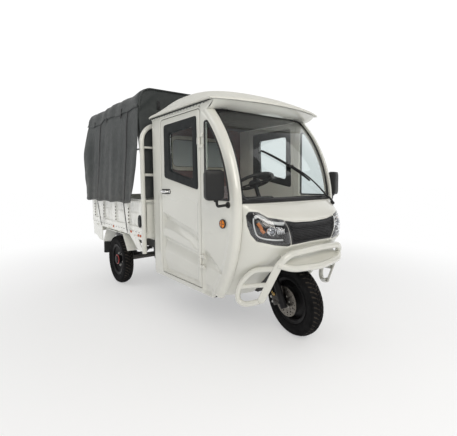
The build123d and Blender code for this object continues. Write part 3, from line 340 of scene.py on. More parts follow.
def piece(name, verts, faces, mat, body="chassis", slot=None, replaces=(), angle=35.0, thick=0.0, offset=-1.0):
    me = bpy.data.meshes.new(name)
    me.from_pydata([tuple(map(float, v)) for v in verts], [], [tuple(int(i) for i in f) for f in faces])
    me.validate()
    for m in ([mat] if isinstance(mat, str) else mat):
        me.materials.append(M[m])
    if angle:
        me.shade_smooth()
        me.set_sharp_from_angle(angle=math.radians(angle))
    o = bpy.data.objects.new(name, me)
    bpy.context.scene.collection.objects.link(o)
    if thick:
        s = o.modifiers.new("thickness", "SOLIDIFY")
        s.thickness = thick
        s.offset = offset
        s.use_even_offset = True
    o.visible_shadow = mat not in ("glass", "tint", "lens", "milky")
    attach(o, body)
    if replaces:
        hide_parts(*replaces)
    return o


def slab(shape, back):
    """Closed panel: the given skin, its copy moved by back(point), and walls along the open edges."""
    v, f = shape
    n = len(v)
    v = [tuple(map(float, p)) for p in v]
    edges = {e for q in f for e in zip(q, tuple(q[1:]) + tuple(q[:1]))}
    walls = [(b, a, n + a, n + b) for a, b in edges if (b, a) not in edges]
    return v + [back(p) for p in v], [tuple(q) for q in f] + [tuple(n + i for i in reversed(q)) for q in f] + sorted(walls)


class Bag:
    """Collects verts and faces of many small shapes into one mesh."""

    def __init__(self):
        self.v, self.f = [], []

    def add(self, verts, faces):
        n = len(self.v)
        self.v += [tuple(map(float, p)) for p in verts]
        self.f += [tuple(i + n for i in f) for f in faces]
        return self

    def mirror(self):
        n = len(self.v)
        self.v += [(x, -y, z) for x, y, z in self.v]
        self.f += [tuple(i + n for i in reversed(f)) for f in self.f[:]]
        return self

    def make(self, name, mat, **kw):
        return piece(name, self.v, self.f, mat, **kw)


def flip(shape):
    v, f = shape
    return [(x, -y, z) for x, y, z in v], [tuple(reversed(q)) for q in f]


def grid(nu, nv, fn, close_u=False, close_v=False):
    """Quad grid of fn(u, v), u and v from 0 to 1."""
    v = [fn(i / (nu if close_u else nu - 1), j / (nv if close_v else nv - 1)) for i in range(nu) for j in range(nv)]
    f = []
    for i in range(nu if close_u else nu - 1):
        for j in range(nv if close_v else nv - 1):
            a, b = i * nv + j, ((i + 1) % nu) * nv + j
            c, d = ((i + 1) % nu) * nv + (j + 1) % nv, i * nv + (j + 1) % nv
            f.append((a, b, c, d))
    return v, f


def smooth_path(points, n, closed=False):
    """Points on a Catmull-Rom curve through the given ones."""
    p = np.array(points, float)
    m = len(p)
    if m == 2 and not closed:
        t = np.linspace(0, 1, n)[:, None]
        return p[0] + (p[1] - p[0]) * t
    out = []
    seg = m if closed else m - 1
    for k in range(n):
        t = k / (n if closed else n - 1) * seg
        i = min(int(t), seg - 1)
        t -= i
        if closed:
            a, b, c, d = (p[(i + j) % m] for j in (-1, 0, 1, 2))
        else:
            b, c = p[i], p[i + 1]
            a = p[i - 1] if i > 0 else 2 * b - c
            d = p[i + 2] if i + 2 < m else 2 * c - b
        out.append(0.5 * ((2 * b) + (c - a) * t + (2 * a - 5 * b + 4 * c - d) * t**2 + (3 * b - a - 3 * c + d) * t**3))
    return np.array(out)


def rounded_path(points, radii, n_arc=8):
    """Straight runs with each corner rounded by an arc-like bend of that radius."""
    p = [np.array(q, float) for q in points]
    r = list(radii) if hasattr(radii, "__len__") else [radii] * (len(p) - 2)
    out = [p[0]]
    for i in range(1, len(p) - 1):
        a, b = p[i - 1] - p[i], p[i + 1] - p[i]
        la, lb = np.linalg.norm(a), np.linalg.norm(b)
        a, b = a / la, b / lb
        half = math.acos(max(-1, min(1, float(a @ b)))) / 2
        d = min(r[i - 1] / math.tan(half), la * 0.49, lb * 0.49)
        q0, q1 = p[i] + a * d, p[i] + b * d
        for k in range(n_arc + 1):
            t = k / n_arc
            out.append(q0 * (1 - t) ** 2 + 2 * p[i] * t * (1 - t) + q1 * t * t)
    out.append(p[-1])
    return np.array(out)


def frames(path, closed=False, up=(0, 0, 1)):
    """Tangent, side and up at each point of a path, turning as little as possible."""
    n = len(path)
    tan = np.array([path[(i + 1) % n] - path[i - 1] if closed or 0 < i < n - 1 else (path[1] - path[0] if i == 0 else path[-1] - path[-2]) for i in range(n)])
    tan /= np.linalg.norm(tan, axis=1)[:, None]
    u = np.array(up, float)
    if abs(u @ tan[0]) > 0.95:
        u = np.array((1.0, 0, 0)) if abs(tan[0][0]) < 0.9 else np.array((0, 1.0, 0))
    u = u - (u @ tan[0]) * tan[0]
    u /= np.linalg.norm(u)
    ups = []
    for t in tan:
        u = u - (u @ t) * t
        u /= np.linalg.norm(u)
        ups.append(u.copy())
    ups = np.array(ups)
    return tan, np.cross(tan, ups), ups


def sweep(path, profile, closed=False, cap=True, up=(0, 0, 1), scale=None):
    """A closed profile (side, up) carried along a path."""
    path = np.array(path, float)
    _, side, ups = frames(path, closed, up)
    n, m = len(path), len(profile)
    v = []
    for i in range(n):
        k = 1.0 if scale is None else scale(i / (n - 1))
        for a, b in profile:
            v.append(path[i] + side[i] * a * k + ups[i] * b * k)
    f = []
    for i in range(n if closed else n - 1):
        for j in range(m):
            a, b = i * m + j, ((i + 1) % n) * m + j
            f.append((a, b, ((i + 1) % n) * m + (j + 1) % m, i * m + (j + 1) % m))
    if cap and not closed:
        f.append(tuple(range(m)))
        f.append(tuple((n - 1) * m + j for j in reversed(range(m))))
    return v, [tuple(reversed(q)) for q in f]


def ring(r, n=16):
    return [(r * math.cos(2 * math.pi * k / n), r * math.sin(2 * math.pi * k / n)) for k in range(n)]


def tube(points, r, n=14, bend=None, **kw):
    path = rounded_path(points, bend) if bend is not None else np.array(points, float)
    return sweep(path, ring(r, n), **kw)


def rect(w, h, r=0.0, n=4):
    """Rounded rectangle outline, anticlockwise."""
    r = min(r, w / 2 - 1e-6, h / 2 - 1e-6)
    if r <= 0:
        return [(-w / 2, -h / 2), (w / 2, -h / 2), (w / 2, h / 2), (-w / 2, h / 2)]
    out = []
    for cx, cy, a0 in ((w / 2 - r, -h / 2 + r, -90), (w / 2 - r, h / 2 - r, 0), (-w / 2 + r, h / 2 - r, 90), (-w / 2 + r, -h / 2 + r, 180)):
        for k in range(n + 1):
            t = math.radians(a0 + 90 * k / n)
            out.append((cx + r * math.cos(t), cy + r * math.sin(t)))
    return out


def rounded_box(lo_, hi_, r, seg=3):
    """Box with all edges rounded."""
    bm = bmesh.new()
    bmesh.ops.create_cube(bm, size=1.0)
    lo_, hi_ = Vector(lo_), Vector(hi_)
    for v in bm.verts:
        v.co = Vector(((lo_[i] + hi_[i]) / 2 + v.co[i] * (hi_[i] - lo_[i]) for i in range(3)))
    bmesh.ops.bevel(bm, geom=bm.edges[:], offset=r, segments=seg, profile=0.5, affect="EDGES", clamp_overlap=True)
    bm.verts.index_update()
    out = [tuple(v.co) for v in bm.verts], [tuple(v.index for v in f.verts) for f in bm.faces]
    bm.free()
    return out


def lathe(profile, origin, axis="y", n=48, a0=0.0, a1=360.0):
    """Profile of (radius, along) turned about an axis through origin."""
    full = abs(a1 - a0) >= 359.9
    ox, oy, oz = origin
    steps = n if full else n + 1
    v = []
    for k in range(steps):
        t = math.radians(a0 + (a1 - a0) * k / n)
        c, s = math.cos(t), math.sin(t)
        for r, h in profile:
            v.append({"y": (ox + r * c, oy + h, oz + r * s), "x": (ox + h, oy + r * c, oz + r * s), "z": (ox + r * c, oy + r * s, oz + h)}[axis])
    m = len(profile)
    f = []
    for k in range(n):
        for j in range(m - 1):
            a, b = k * m + j, ((k + 1) % steps) * m + j
            f.append((a, a + 1, b + 1, b))
    if axis == "y":
        f = [tuple(reversed(q)) for q in f]
    return v, f


def bolt(origin, axis, r=0.006, h=0.005, sides=6):
    """Bolt head on a washer, standing on a point along axis."""
    ax = Vector(axis).normalized()
    q = ax.to_track_quat("Z", "Y")
    b = Bag()
    for rr, z0, z1, n in ((r * 1.6, 0.0, h * 0.25, 16), (r, h * 0.25, h, sides)):
        v, f = [], []
        for k in range(n):
            t = 2 * math.pi * k / n
            for z in (z0, z1):
                v.append(Vector(origin) + q @ Vector((rr * math.cos(t), rr * math.sin(t), z)))
        for k in range(n):
            a, c = 2 * k, 2 * ((k + 1) % n)
            f.append((a, c, c + 1, a + 1))
        f.append(tuple(2 * k + 1 for k in range(n)))
        b.add(v, f)
    return b.v, b.f


def inside(points, loop):
    """True for each point lying within the loop."""
    p = np.atleast_2d(np.array(points, float))
    c = np.zeros(len(p), bool)
    q = np.array(loop, float)
    for (x0, y0), (x1, y1) in zip(np.roll(q, 1, 0), q):
        if y0 == y1:
            continue
        c ^= ((y0 > p[:, 1]) != (y1 > p[:, 1])) & (p[:, 0] < (x1 - x0) * (p[:, 1] - y0) / (y1 - y0) + x0)
    return c


def resample(loop, step):
    """Closed outline with points no further apart than step, corners kept."""
    out = []
    n = len(loop)
    for i in range(n):
        a, b = np.array(loop[i], float), np.array(loop[(i + 1) % n], float)
        k = max(1, int(math.ceil(np.linalg.norm(b - a) / step)))
        out += [tuple(a + (b - a) * j / k) for j in range(k)]
    return out


def round_corners(loop, r, n=6):
    """Closed outline with its corners rounded; r is one radius or one for each corner."""
    out = []
    m = len(loop)
    for i in range(m):
        p = np.array(loop[i], float)
        a, b = np.array(loop[i - 1], float) - p, np.array(loop[(i + 1) % m], float) - p
        la, lb = np.linalg.norm(a), np.linalg.norm(b)
        rr = r[i] if hasattr(r, "__len__") else r
        half = math.acos(max(-1, min(1, float(a @ b) / la / lb))) / 2
        d = min(rr / math.tan(half), la * 0.49, lb * 0.49)
        if d < 1e-6:
            out.append(tuple(p))
            continue
        q0, q1 = p + a / la * d, p + b / lb * d
        for k in range(n + 1):
            t = k / n
            out.append(tuple(q0 * (1 - t) ** 2 + 2 * p * t * (1 - t) + q1 * t * t))
    return out


def inset(loop, d):
    """Closed outline moved inwards by d (anticlockwise or not)."""
    p = np.array(loop, float)
    area_ = 0.5 * np.sum(p[:, 0] * np.roll(p[:, 1], -1) - np.roll(p[:, 0], -1) * p[:, 1])
    s = 1.0 if area_ > 0 else -1.0
    e = np.roll(p, -1, 0) - p
    e /= np.maximum(np.linalg.norm(e, axis=1), 1e-12)[:, None]
    nrm = np.stack([-e[:, 1], e[:, 0]], 1) * s
    avg = nrm + np.roll(nrm, 1, 0)
    ln = np.maximum((avg * avg).sum(1), 0.4)
    return [tuple(q) for q in p + avg * (2 * d / ln)[:, None]]


def flat_mesh(outer, holes, step, rims=()):
    """Triangles over an outline with holes. rims are distances of extra rows of points just inside the edges."""
    from mathutils.geometry import delaunay_2d_cdt

    loops = [resample(outer, step)] + [resample(h, step) for h in holes]
    pts, edges = [], []
    for lp in loops:
        n = len(pts)
        pts += [Vector(p) for p in lp]
        edges += [(n + i, n + (i + 1) % len(lp)) for i in range(len(lp))]
    keep = 0.55 * step
    for d in rims:
        pts += [Vector(p) for p in inset(loops[0], d)]
        for lp in loops[1:]:
            pts += [Vector(p) for p in inset(lp, -d)]
        keep = d + 0.5 * step
    xs, ys = [p[0] for p in loops[0]], [p[1] for p in loops[0]]
    gx = np.arange(min(xs) + step / 2, max(xs), step)
    gy = np.arange(min(ys) + step / 2, max(ys), step)
    g = np.stack(np.meshgrid(gx, gy, indexing="ij"), -1).reshape(-1, 2)
    ok = inside(g, loops[0]) & (edge_distance(g, loops) > keep)
    for lp in loops[1:]:
        ok &= ~inside(g, lp)
    pts += [Vector((float(x), float(y))) for x, y in g[ok]]
    v, _, f, *_ = delaunay_2d_cdt(pts, edges, [], 0, 1e-6)
    co = np.array([(p.x, p.y) for p in v])
    mid = np.array([co[list(t)].mean(0) for t in f])
    ok = inside(mid, loops[0])
    for lp in loops[1:]:
        ok &= ~inside(mid, lp)
    out = [tuple(t) for t, k in zip(f, ok) if k]
    return [(p.x, p.y) for p in v], out, loops


def edge_distance(points, loops):
    """Distance of each point from the nearest edge of the loops."""
    p = np.array(points, float)
    best = np.full(len(p), 1e9)
    for lp in loops:
        a = np.array(lp, float)
        b = np.roll(a, -1, 0)
        d = b - a
        ll = np.maximum((d * d).sum(1), 1e-12)
        for i in range(len(a)):
            t = np.clip(((p - a[i]) @ d[i]) / ll[i], 0, 1)
            q = p - (a[i] + t[:, None] * d[i])
            best = np.minimum(best, np.sqrt((q * q).sum(1)))
    return best


def hash_noise(x, y, seed=0):
    """Smooth seeded noise of two arrays, about -1 to 1."""
    def h(i, j):
        n = np.sin(i * 127.1 + j * 311.7 + seed * 74.7) * 43758.5453
        return (n - np.floor(n)) * 2 - 1
    xi, yi = np.floor(x), np.floor(y)
    xf, yf = x - xi, y - yi
    u, v = xf * xf * (3 - 2 * xf), yf * yf * (3 - 2 * yf)
    return (h(xi, yi) * (1 - u) + h(xi + 1, yi) * u) * (1 - v) + (h(xi, yi + 1) * (1 - u) + h(xi + 1, yi + 1) * u) * v


def step01(x, a, b):
    t = np.clip((np.asarray(x, float) - a) / (b - a), 0, 1)
    return t * t * (3 - 2 * t)


# ------------------------------------------------------------------------------------
# tarpaulin: one continuous sheet over the hoops, slit at the two front corners
# ------------------------------------------------------------------------------------
def fabric(name, c0, c1, rough, weave, sheen):
    m, nt, b = new_mat(name)
    v = coords(nt)
    col = two_tone(nt, span(nt, noise(nt, v, 3.1, 6, 0.6), 0, 1), c0, c1)
    streak = noise(nt, coords(nt, (9, 9, 0.7)), 3.0, 5, 0.6)
    col = mixed(nt, span(nt, streak, 0, 0.35, 0.5, 0.8), col, tuple(c * 1.5 for c in c1))
    col = mixed(nt, math_node(nt, "MULTIPLY", low_dirt(nt, 0.85, 1.35), 0.45), col, (0.14, 0.13, 0.115))
    nt.links.new(col, b.inputs["Base Color"])
    nt.links.new(span(nt, noise(nt, v, 30, 4), rough * 0.85, rough * 1.12), b.inputs["Roughness"])
    b.inputs["Sheen Weight"].default_value = sheen
    b.inputs["Sheen Roughness"].default_value = 0.5
    waves = []
    for axis in ("X", "Z"):
        w = nt.nodes.new("ShaderNodeTexWave")
        w.bands_direction = axis
        w.inputs["Scale"].default_value = weave
        w.inputs["Distortion"].default_value = 0.6
        nt.links.new(v, w.inputs["Vector"])
        waves.append(w.outputs["Fac"])
    h = math_node(nt, "ADD", math_node(nt, "MAXIMUM", *waves), math_node(nt, "MULTIPLY", noise(nt, v, 55, 4), 1.6))
    bump(nt, b, h, 0.25, 0.0012)
    return m


M["tarp"] = fabric("tarp_cloth", (0.022, 0.0265, 0.0262), (0.033, 0.039, 0.0385), 0.62, 240, 0.08)
M["web"] = fabric("webbing", (0.012, 0.012, 0.013), (0.02, 0.02, 0.021), 0.7, 420, 0.1)

HOOPS = (-0.69, 0.03, 0.748)
T_ARC = 0.462                                      # where the shoulder arc starts, along the profile
R_SH = 0.122
T_SIDE = T_ARC + R_SH * math.pi / 2
L_PROF = T_SIDE + 0.934
T_SLIT = T_SIDE + 0.055                            # the front corner is open below this


def profile(t):
    """Cross-section of the taut sheet: distance along it from the crown to (y, z), right-hand half given as positive y."""
    t = np.asarray(t, float)
    y = np.where(t < T_ARC, t, 0.0)
    z = np.where(t < T_ARC, 1.968 - 0.006 * (t / T_ARC) ** 2, 0.0)
    a = np.clip((t - T_ARC) / R_SH, 0, math.pi / 2)
    arc = (t >= T_ARC) & (t < T_SIDE)
    y = np.where(arc, 0.462 + R_SH * np.sin(a), y)
    z = np.where(arc, 1.962 - R_SH * (1 - np.cos(a)), z)
    d = np.clip((t - T_SIDE) / (L_PROF - T_SIDE), 0, None)
    low = t >= T_SIDE
    y = np.where(low, 0.584 + 0.062 * d**0.85, y)
    z = np.where(low, 1.840 - 0.932 * d, z)
    return y, z


def bay_sag(x):
    """0 over a hoop, 1 midway between two."""
    s = np.zeros_like(x)
    for a, b in zip(HOOPS[:-1], HOOPS[1:]):
        k = np.clip((x - a) / (b - a), 0, 1)
        s = np.maximum(s, 4 * k * (1 - k))
    return s


def tarp_surface(x, t, side):
    """Points of the hanging sheet; x is the station, t the distance from the crown, side +1 left or -1 right."""
    y, z = profile(t)
    e = 1e-3
    y1, z1 = profile(t + e)
    y0, z0 = profile(np.maximum(t - e, 0))
    ty, tz = y1 - y0, z1 - z0
    ln = np.maximum(np.hypot(ty, tz), 1e-9)
    ny, nz = -tz / ln, ty / ln                      # outward
    top = 1 - step01(t, T_ARC - 0.10, T_SIDE)
    hang = step01(t, T_SIDE - 0.02, T_SIDE + 0.45)
    sd = 3.0 if side > 0 else 11.0
    d = -0.020 * bay_sag(x) * top * (1 - 0.35 * (t / T_ARC) ** 2)
    d += 0.004 * top * hash_noise(x * 6.0, t * side * 7.0 + 40, 5)
    shoulder = np.exp(-((t - T_SIDE + 0.05) / 0.13) ** 2)
    d += -0.012 * bay_sag(x) * shoulder
    d += 0.006 * shoulder * np.sin(x * 21 + side * 0.7 + 1.5 * np.sin(x * 5.1)) * (0.3 + 0.7 * bay_sag(x))
    folds = 0.55 * np.sin(x * 15.5 + 0.8 * side + 0.9 * np.sin(t * 3.1)) + 0.3 * np.sin(x * 33 + 1.7 + 1.2 * np.sin(t * 2.3 + side)) + 0.35 * hash_noise(x * 5.5 + 0.5 * t, t * 1.6, sd)
    d += (0.004 + 0.009 * np.clip((t - T_SIDE) / 0.93, 0, 1)) * hang * folds
    d += -0.010 * bay_sag(x) * hang * np.exp(-((t - T_SIDE - 0.40) / 0.35) ** 2)
    diag = hash_noise((x * 1.0 + (t - T_SIDE) * 1.3) * 7.0, (t - T_SIDE) * 2.2 - x, sd + 4)
    d += 0.0035 * hang * diag
    rear = step01(x, -0.45, -0.76)                  # the loose rear edge stands off
    d += 0.034 * rear * hang * np.exp(-((t - T_SIDE - 0.30) / 0.42) ** 2)
    frontk = step01(x, 0.55, 0.77)
    d += 0.010 * frontk * step01(t, T_SIDE + 0.3, L_PROF) * np.sin(x * 30)
    edge = step01(x, 0.735, 0.772) * (1 - step01(t, T_SLIT - 0.05, T_SLIT + 0.02))
    d += -0.012 * edge                              # turns down over the front hoop
    edge_r = step01(x, -0.69, -0.735) * (1 - step01(t, T_SIDE, T_SIDE + 0.1))
    d += -0.010 * edge_r
    return np.stack([x + XR, side * (y + ny * d), z + nz * d], -1)


def x_rear(t):
    k = np.clip((t - T_SIDE) / 0.93, 0, 1)
    return -0.722 - 0.050 * np.sin(np.pi * np.clip(k * 1.05, 0, 1)) ** 0.8 * step01(t, T_SIDE - 0.05, T_SIDE + 0.15) + 0.02 * k**3


def x_front(t):
    k = np.clip((t - T_SIDE - 0.38) / 0.55, 0, 1)
    return 0.772 - 0.082 * k**1.4


NX, NT = 132, 118
ts = np.concatenate([np.linspace(0, T_ARC - 0.03, 24)[:-1], np.linspace(T_ARC - 0.03, T_SLIT, 30)[:-1], np.linspace(T_SLIT, L_PROF, NT - 52)])
I_SLIT = 23 + 29
us = np.concatenate([np.linspace(0, 0.04, 5)[:-1], np.linspace(0.04, 0.955, NX - 12)[:-1], np.linspace(0.955, 1.0, 9)])
tv, tf = [], []
cols = [(-1, t) for t in ts[::-1]] + [(1, t) for t in ts[1:]]
hem_wave = 0.006
for u in us:
    for side, t in cols:
        xa, xb = float(x_rear(t)), float(x_front(t))
        x = xa + (xb - xa) * u
        tt = t + (hem_wave * math.sin(x * 17 + side) - 0.012 * u) * float(step01(t, L_PROF - 0.25, L_PROF))
        tv.append(tarp_surface(np.array(x), np.array(tt), side))
nc = len(cols)
for i in range(len(us) - 1):
    for j in range(nc - 1):
        a, b = i * nc + j, (i + 1) * nc + j
        tf.append((a, a + 1, b + 1, b))
# front panel, hanging from the arch edge of the main sheet
arch = [j for j, (s, t) in enumerate(cols) if t <= T_SLIT + 1e-9]
last = (len(us) - 1) * nc
NQ = 46
prev = [last + j for j in arch]
z_bot = 0.968
for q in range(1, NQ + 1):
    k = q / NQ
    row = []
    for j in arch:
        s, t = cols[j]
        p0 = tv[last + j]
        yy, zz = p0[1], p0[2]
        drop = (zz - z_bot) * k
        z = zz - drop
        pull = step01(drop, 0.0, 0.5)
        y = yy * (1 - 0.055 * pull * min(1, abs(yy) / 0.5) ** 2)
        bulge = 0.010 * math.sqrt(min(1.0, drop / 0.025)) - 0.004
        crease = 0.010 * math.exp(-((abs(y) + z - 2.36) / 0.03) ** 2) * (1 if drop < 0.35 else max(0, 1 - (drop - 0.35) / 0.2))
        crease -= 0.007 * math.exp(-((abs(y) * 0.8 + z - 2.20) / 0.04) ** 2) * math.exp(-drop / 0.35)
        fold = 0.007 * pull * (math.sin(y * 13 + 0.6) + 0.5 * math.sin(y * 29 + 2.0 + z * 2)) + 0.006 * float(hash_noise(np.array(y * 6 + 3), np.array(z * 5), 21))
        tv.append(np.array([p0[0] + bulge + crease + fold * min(1, drop / 0.12), y, z]))
        row.append(len(tv) - 1)
    for m in range(len(arch) - 1):
        tf.append((prev[m], prev[m + 1], row[m + 1], row[m]))
    prev = row
tarp = piece("tarp_sheet", tv, tf, "tarp", slot="tarp_cloth", replaces=("tarpaulin",), angle=70, thick=0.0022, offset=0.0)


# the front panel's side edges turn back inside the side sheets
base, na = len(us) * nc, len(arch)
for tag, m, side in (("right", 0, -1), ("left", na - 1, 1)):
    v, f = [], []
    for q in range(NQ):
        p = tv[base + q * na + m]
        if p[2] < 1.36:
            break
        v += [p + np.array((0.0005, 0, 0)), p + np.array((-0.030, side * 0.004, 0)), p + np.array((-0.085, side * -0.004, 0))]
    for q in range(len(v) // 3 - 1):
        for k in range(2):
            f.append((3 * q + k, 3 * q + k + 1, 3 * q + k + 4, 3 * q + k + 3))
    piece(f"tarp_return_{tag}", v, f, "tarp", slot="tarp_cloth", angle=70, thick=0.0022, offset=0.0)


def on_tarp(x, t, side, lift):
    e = 2e-3
    p = tarp_surface(np.array(x), np.array(t), side)
    dx = tarp_surface(np.array(x + e), np.array(t), side) - p
    dt = tarp_surface(np.array(x), np.array(t + e), side) - p
    n = np.cross(dx, dt) * (1 if side < 0 else -1)
    n = n / np.linalg.norm(n)
    if n[1] * side < 0 and abs(n[1]) > 0.3 or n[2] < -0.5:
        n = -n
    return p + n * lift


# the upper sheet's overlap: a flap along each shoulder with a wavy hem
for side, tag in ((-1, "right"), (1, "left")):
    v, f = [], []
    nx, nt_ = 120, 12
    for i in range(nx):
        x = -0.742 + (0.768 + 0.742) * i / (nx - 1)
        low = T_SIDE + 0.064 + 0.010 * math.sin(x * 9 + side) + 0.006 * math.sin(x * 23 + 1) + 0.012 * float(hash_noise(np.array(x * 4.0), np.array(3.3), 31))
        for j in range(nt_):
            k = j / (nt_ - 1)
            t = T_SIDE - 0.10 + (low - T_SIDE + 0.10) * k
            v.append(on_tarp(x, t, side, 0.0014 + 0.0042 * k + (0.0035 if j == nt_ - 2 else 0)))
    for i in range(nx - 1):
        for j in range(nt_ - 1):
            a, b = i * nt_ + j, (i + 1) * nt_ + j
            f.append((a, a + 1, b + 1, b) if side < 0 else (b, b + 1, a + 1, a))
    piece(f"tarp_flap_{tag}", v, f, "tarp", slot="tarp_cloth", angle=60, thick=0.0025, offset=1.0)

# rolled hems with a stitched band, and black webbing tabs on the overlap
hems = Bag()
for side in (-1, 1):
    path = []
    for i in range(90):
        u = i / 89
        xa, xb = float(x_rear(L_PROF)), float(x_front(L_PROF))
        x = xa + (xb - xa) * u
        path.append(on_tarp(x, L_PROF + hem_wave * math.sin(x * 17 + side) - 0.012 * u - 0.012, side, 0.0015))
    hems.add(*sweep(path, rect(0.0045, 0.026, 0.002, 2), up=(0, 0, 1)))
arch_edge = [tv[last + j] for j in arch]
hems.add(*sweep(smooth_path([p + np.array((0.006, 0, 0.002)) for p in arch_edge[::3]], 90), rect(0.012, 0.020, 0.005, 3), up=(1, 0, 0)))
hems.make("tarp_hems", "tarp", slot="tarp_cloth")

tabs = Bag()
for side in (-1, 1):
    for x, t0, t1, w in ((-0.448, 0.030, 0.078, 0.030), (0.374, 0.012, 0.105, 0.026), (-0.05, 0.035, 0.085, 0.024)):
        rows = [on_tarp(x + dx, T_SIDE + t0 + (t1 - t0) * k / 5, side, 0.0105) for k in range(6) for dx in (-w / 2, w / 2)]
        f = [(2 * k, 2 * k + 1, 2 * k + 3, 2 * k + 2) if side > 0 else (2 * k + 2, 2 * k + 3, 2 * k + 1, 2 * k) for k in range(5)]
        tabs.add(rows, f)
for y in (-0.40, 0.40):
    tabs.add([P(0.790, y - 0.014, 1.85), P(0.790, y + 0.014, 1.85), P(0.788, y + 0.014, 1.775), P(0.788, y - 0.014, 1.775)], [(0, 3, 2, 1)])
tabs.make("tarp_tabs", "web", thick=0.003, offset=1.0)

# flat straps from the overlap down over the sheet to hooks on the bed rail
straps, hooks = Bag(), Bag()
for side in (-1, 1):
    for x in (-0.318, 0.464):
        path = [on_tarp(x + 0.06, T_SIDE + 0.05 + (L_PROF - T_SIDE - 0.05) * k / 40, side, 0.0065) for k in range(41)]
        end = np.array(P(x - 0.03, side * 0.592, 0.622))
        p0 = path[-1]
        path += [p0 + (end - p0) * k / 14 + np.array((0, 0, -0.006 * math.sin(math.pi * k / 14))) for k in range(1, 15)]
        straps.add(*sweep(path, rect(0.0022, 0.024, 0.001, 1), up=(1, 0, 0)))
        hx, hy = x - 0.03, side * 0.584
        hooks.add(*tube([P(hx, hy, 0.640), P(hx, hy + side * 0.010, 0.640), P(hx, hy + side * 0.012, 0.618), P(hx, hy + side * 0.002, 0.612)], 0.0032, 8, bend=0.005))
straps.make("tarp_straps", "web")
hooks.make("strap_hooks", "galv")

# ------------------------------------------------------------------------------------
# cab sides and doors: pressed outer skins
# ------------------------------------------------------------------------------------
SIDE_Y = 0.517
PRESS = 1.75                     # scale of all the pressings


def lerp_line(a, pts):
    return np.interp(a, [p[0] for p in pts], [p[1] for p in pts])


# each row: the line's heights along the door (station, z) and how far the skin stands in there
CREASE = [(0.88, 1.026), (1.028, 1.001), (1.291, 0.954), (1.403, 1.000), (1.601, 0.962), (1.659, 0.946), (1.943, 0.893), (2.0, 0.884)]
PRESSING = [
    ([(1.04, 0.861), (1.569, 0.743), (1.60, 0.736)], -0.004),
    ([(1.04, 0.817), (1.25, 0.764), (1.468, 0.704), (1.524, 0.681), (1.587, 0.636), (1.60, 0.628)], -0.021),
    ([(1.04, 0.723), (1.217, 0.716), (1.467, 0.661), (1.522, 0.626), (1.591, 0.601)], -0.005),
    ([(1.04, 0.661), (1.488, 0.612), (1.586, 0.597)], -0.004),
    ([(1.04, 0.630), (1.509, 0.576), (1.585, 0.566)], -0.017),
    ([(1.04, 0.532), (1.572, 0.485)], -0.007),
    ([(1.04, 0.450), (1.559, 0.403)], -0.008),
    ([(1.04, 0.352), (1.59, 0.344)], -0.018),
]
QUARTER = [
    ([(1.63, 0.742), (1.707, 0.745), (1.741, 0.766), (1.954, 0.782), (2.0, 0.786)], -0.004),
    ([(1.63, 0.655), (1.70, 0.610), (1.802, 0.533), (1.85, 0.498)], -0.008),
    ([(1.63, 0.582), (1.70, 0.566), (1.802, 0.530), (1.85, 0.495)], -0.018),
    ([(1.63, 0.520), (1.802, 0.500), (1.85, 0.49)], -0.006),
    ([(1.63, 0.393), (1.766, 0.353), (1.85, 0.33)], -0.008),
    ([(1.63, 0.352), (1.766, 0.348), (1.85, 0.325)], -0.014),
]


def stack(a, z, rows):
    """Depth of the pressing between lines of given height, read straight up and down."""
    zs = np.stack([lerp_line(a, r[0]) for r in rows], -1)
    hs = np.array([r[1] for r in rows]) * PRESS
    h = np.full(len(a), hs[0], float)
    for k in range(len(rows) - 1):
        t = np.clip((zs[:, k] - z) / np.maximum(zs[:, k] - zs[:, k + 1], 1e-4), 0, 1)
        h = np.where(z < zs[:, k], hs[k] + (hs[k + 1] - hs[k]) * t, h)
    return h


def ledge(a, z, top=0.0, low=-0.004, width=0.007):
    return top + (low - top) * np.clip((lerp_line(a, CREASE) + width / 2 - z) / width, 0, 1)


def door_height(a, z, d_out, d_hole):
    base = ledge(a, z)
    h = np.where(z < lerp_line(a, PRESSING[0][0]), stack(a, z, PRESSING), base)
    k = np.minimum(step01(a, 1.041, 1.062), 1 - step01(a, 1.572, 1.600))
    k = np.minimum(k, step01(z, 0.342, 0.372))
    bead = 0.004 * np.exp(-((a - 1.608) / 0.012) ** 2) * step01(0.985 - z, 0.0, 0.05) * step01(z, 0.36, 0.40)
    h = h * k + bead
    h -= 0.0045 * (1 - np.clip(d_out / 0.007, 0, 1)) ** 2
    h -= 0.003 * (1 - np.clip(d_hole / 0.006, 0, 1)) ** 2
    return h


def side_height(a, z, d_out, d_hole):
    base = ledge(a, z)
    h = np.where((a > 1.62) & (z < lerp_line(a, QUARTER[0][0])), stack(a, z, QUARTER), base)
    k = np.where(a > 1.3, step01(a, 1.640, 1.662), 0.0)
    edge = step01(d_out, 0.0, 0.05)
    h = h * k * edge
    low = step01(0.325 - z, -0.004, 0.004) * -0.006         # the sill rolls under
    bead = 0.007 * np.exp(-((a - 1.010) / 0.017) ** 2) * step01(1.02 - z, 0.0, 0.06) * step01(z, 0.36, 0.42)
    h = h + low + bead
    h -= 0.005 * (1 - np.clip(d_out / 0.010, 0, 1)) ** 2
    h -= 0.004 * (1 - np.clip(d_hole / 0.007, 0, 1)) ** 2
    return h


def pressed(outer, holes, fn, step, rims):
    """Skin of a right-hand panel at y = -SIDE_Y with its depth from fn; outlines are (station, z)."""
    pts, tris, loops = flat_mesh(outer, holes, step, rims)
    p = np.array(pts)
    d_out = edge_distance(pts, [loops[0]])
    d_hole = edge_distance(pts, loops[1:]) if holes else np.full(len(p), 1.0)
    h = fn(p[:, 0], p[:, 1], d_out, d_hole)
    v = [P(a, -SIDE_Y - hh, z) for (a, z), hh in zip(pts, h)]
    f = []
    for t in tris:
        (x0, z0), (x1, z1), (x2, z2) = (pts[i] for i in t)
        f.append(tuple(t) if (x1 - x0) * (z2 - z0) - (x2 - x0) * (z1 - z0) > 0 else tuple(reversed(t)))
    return v, f


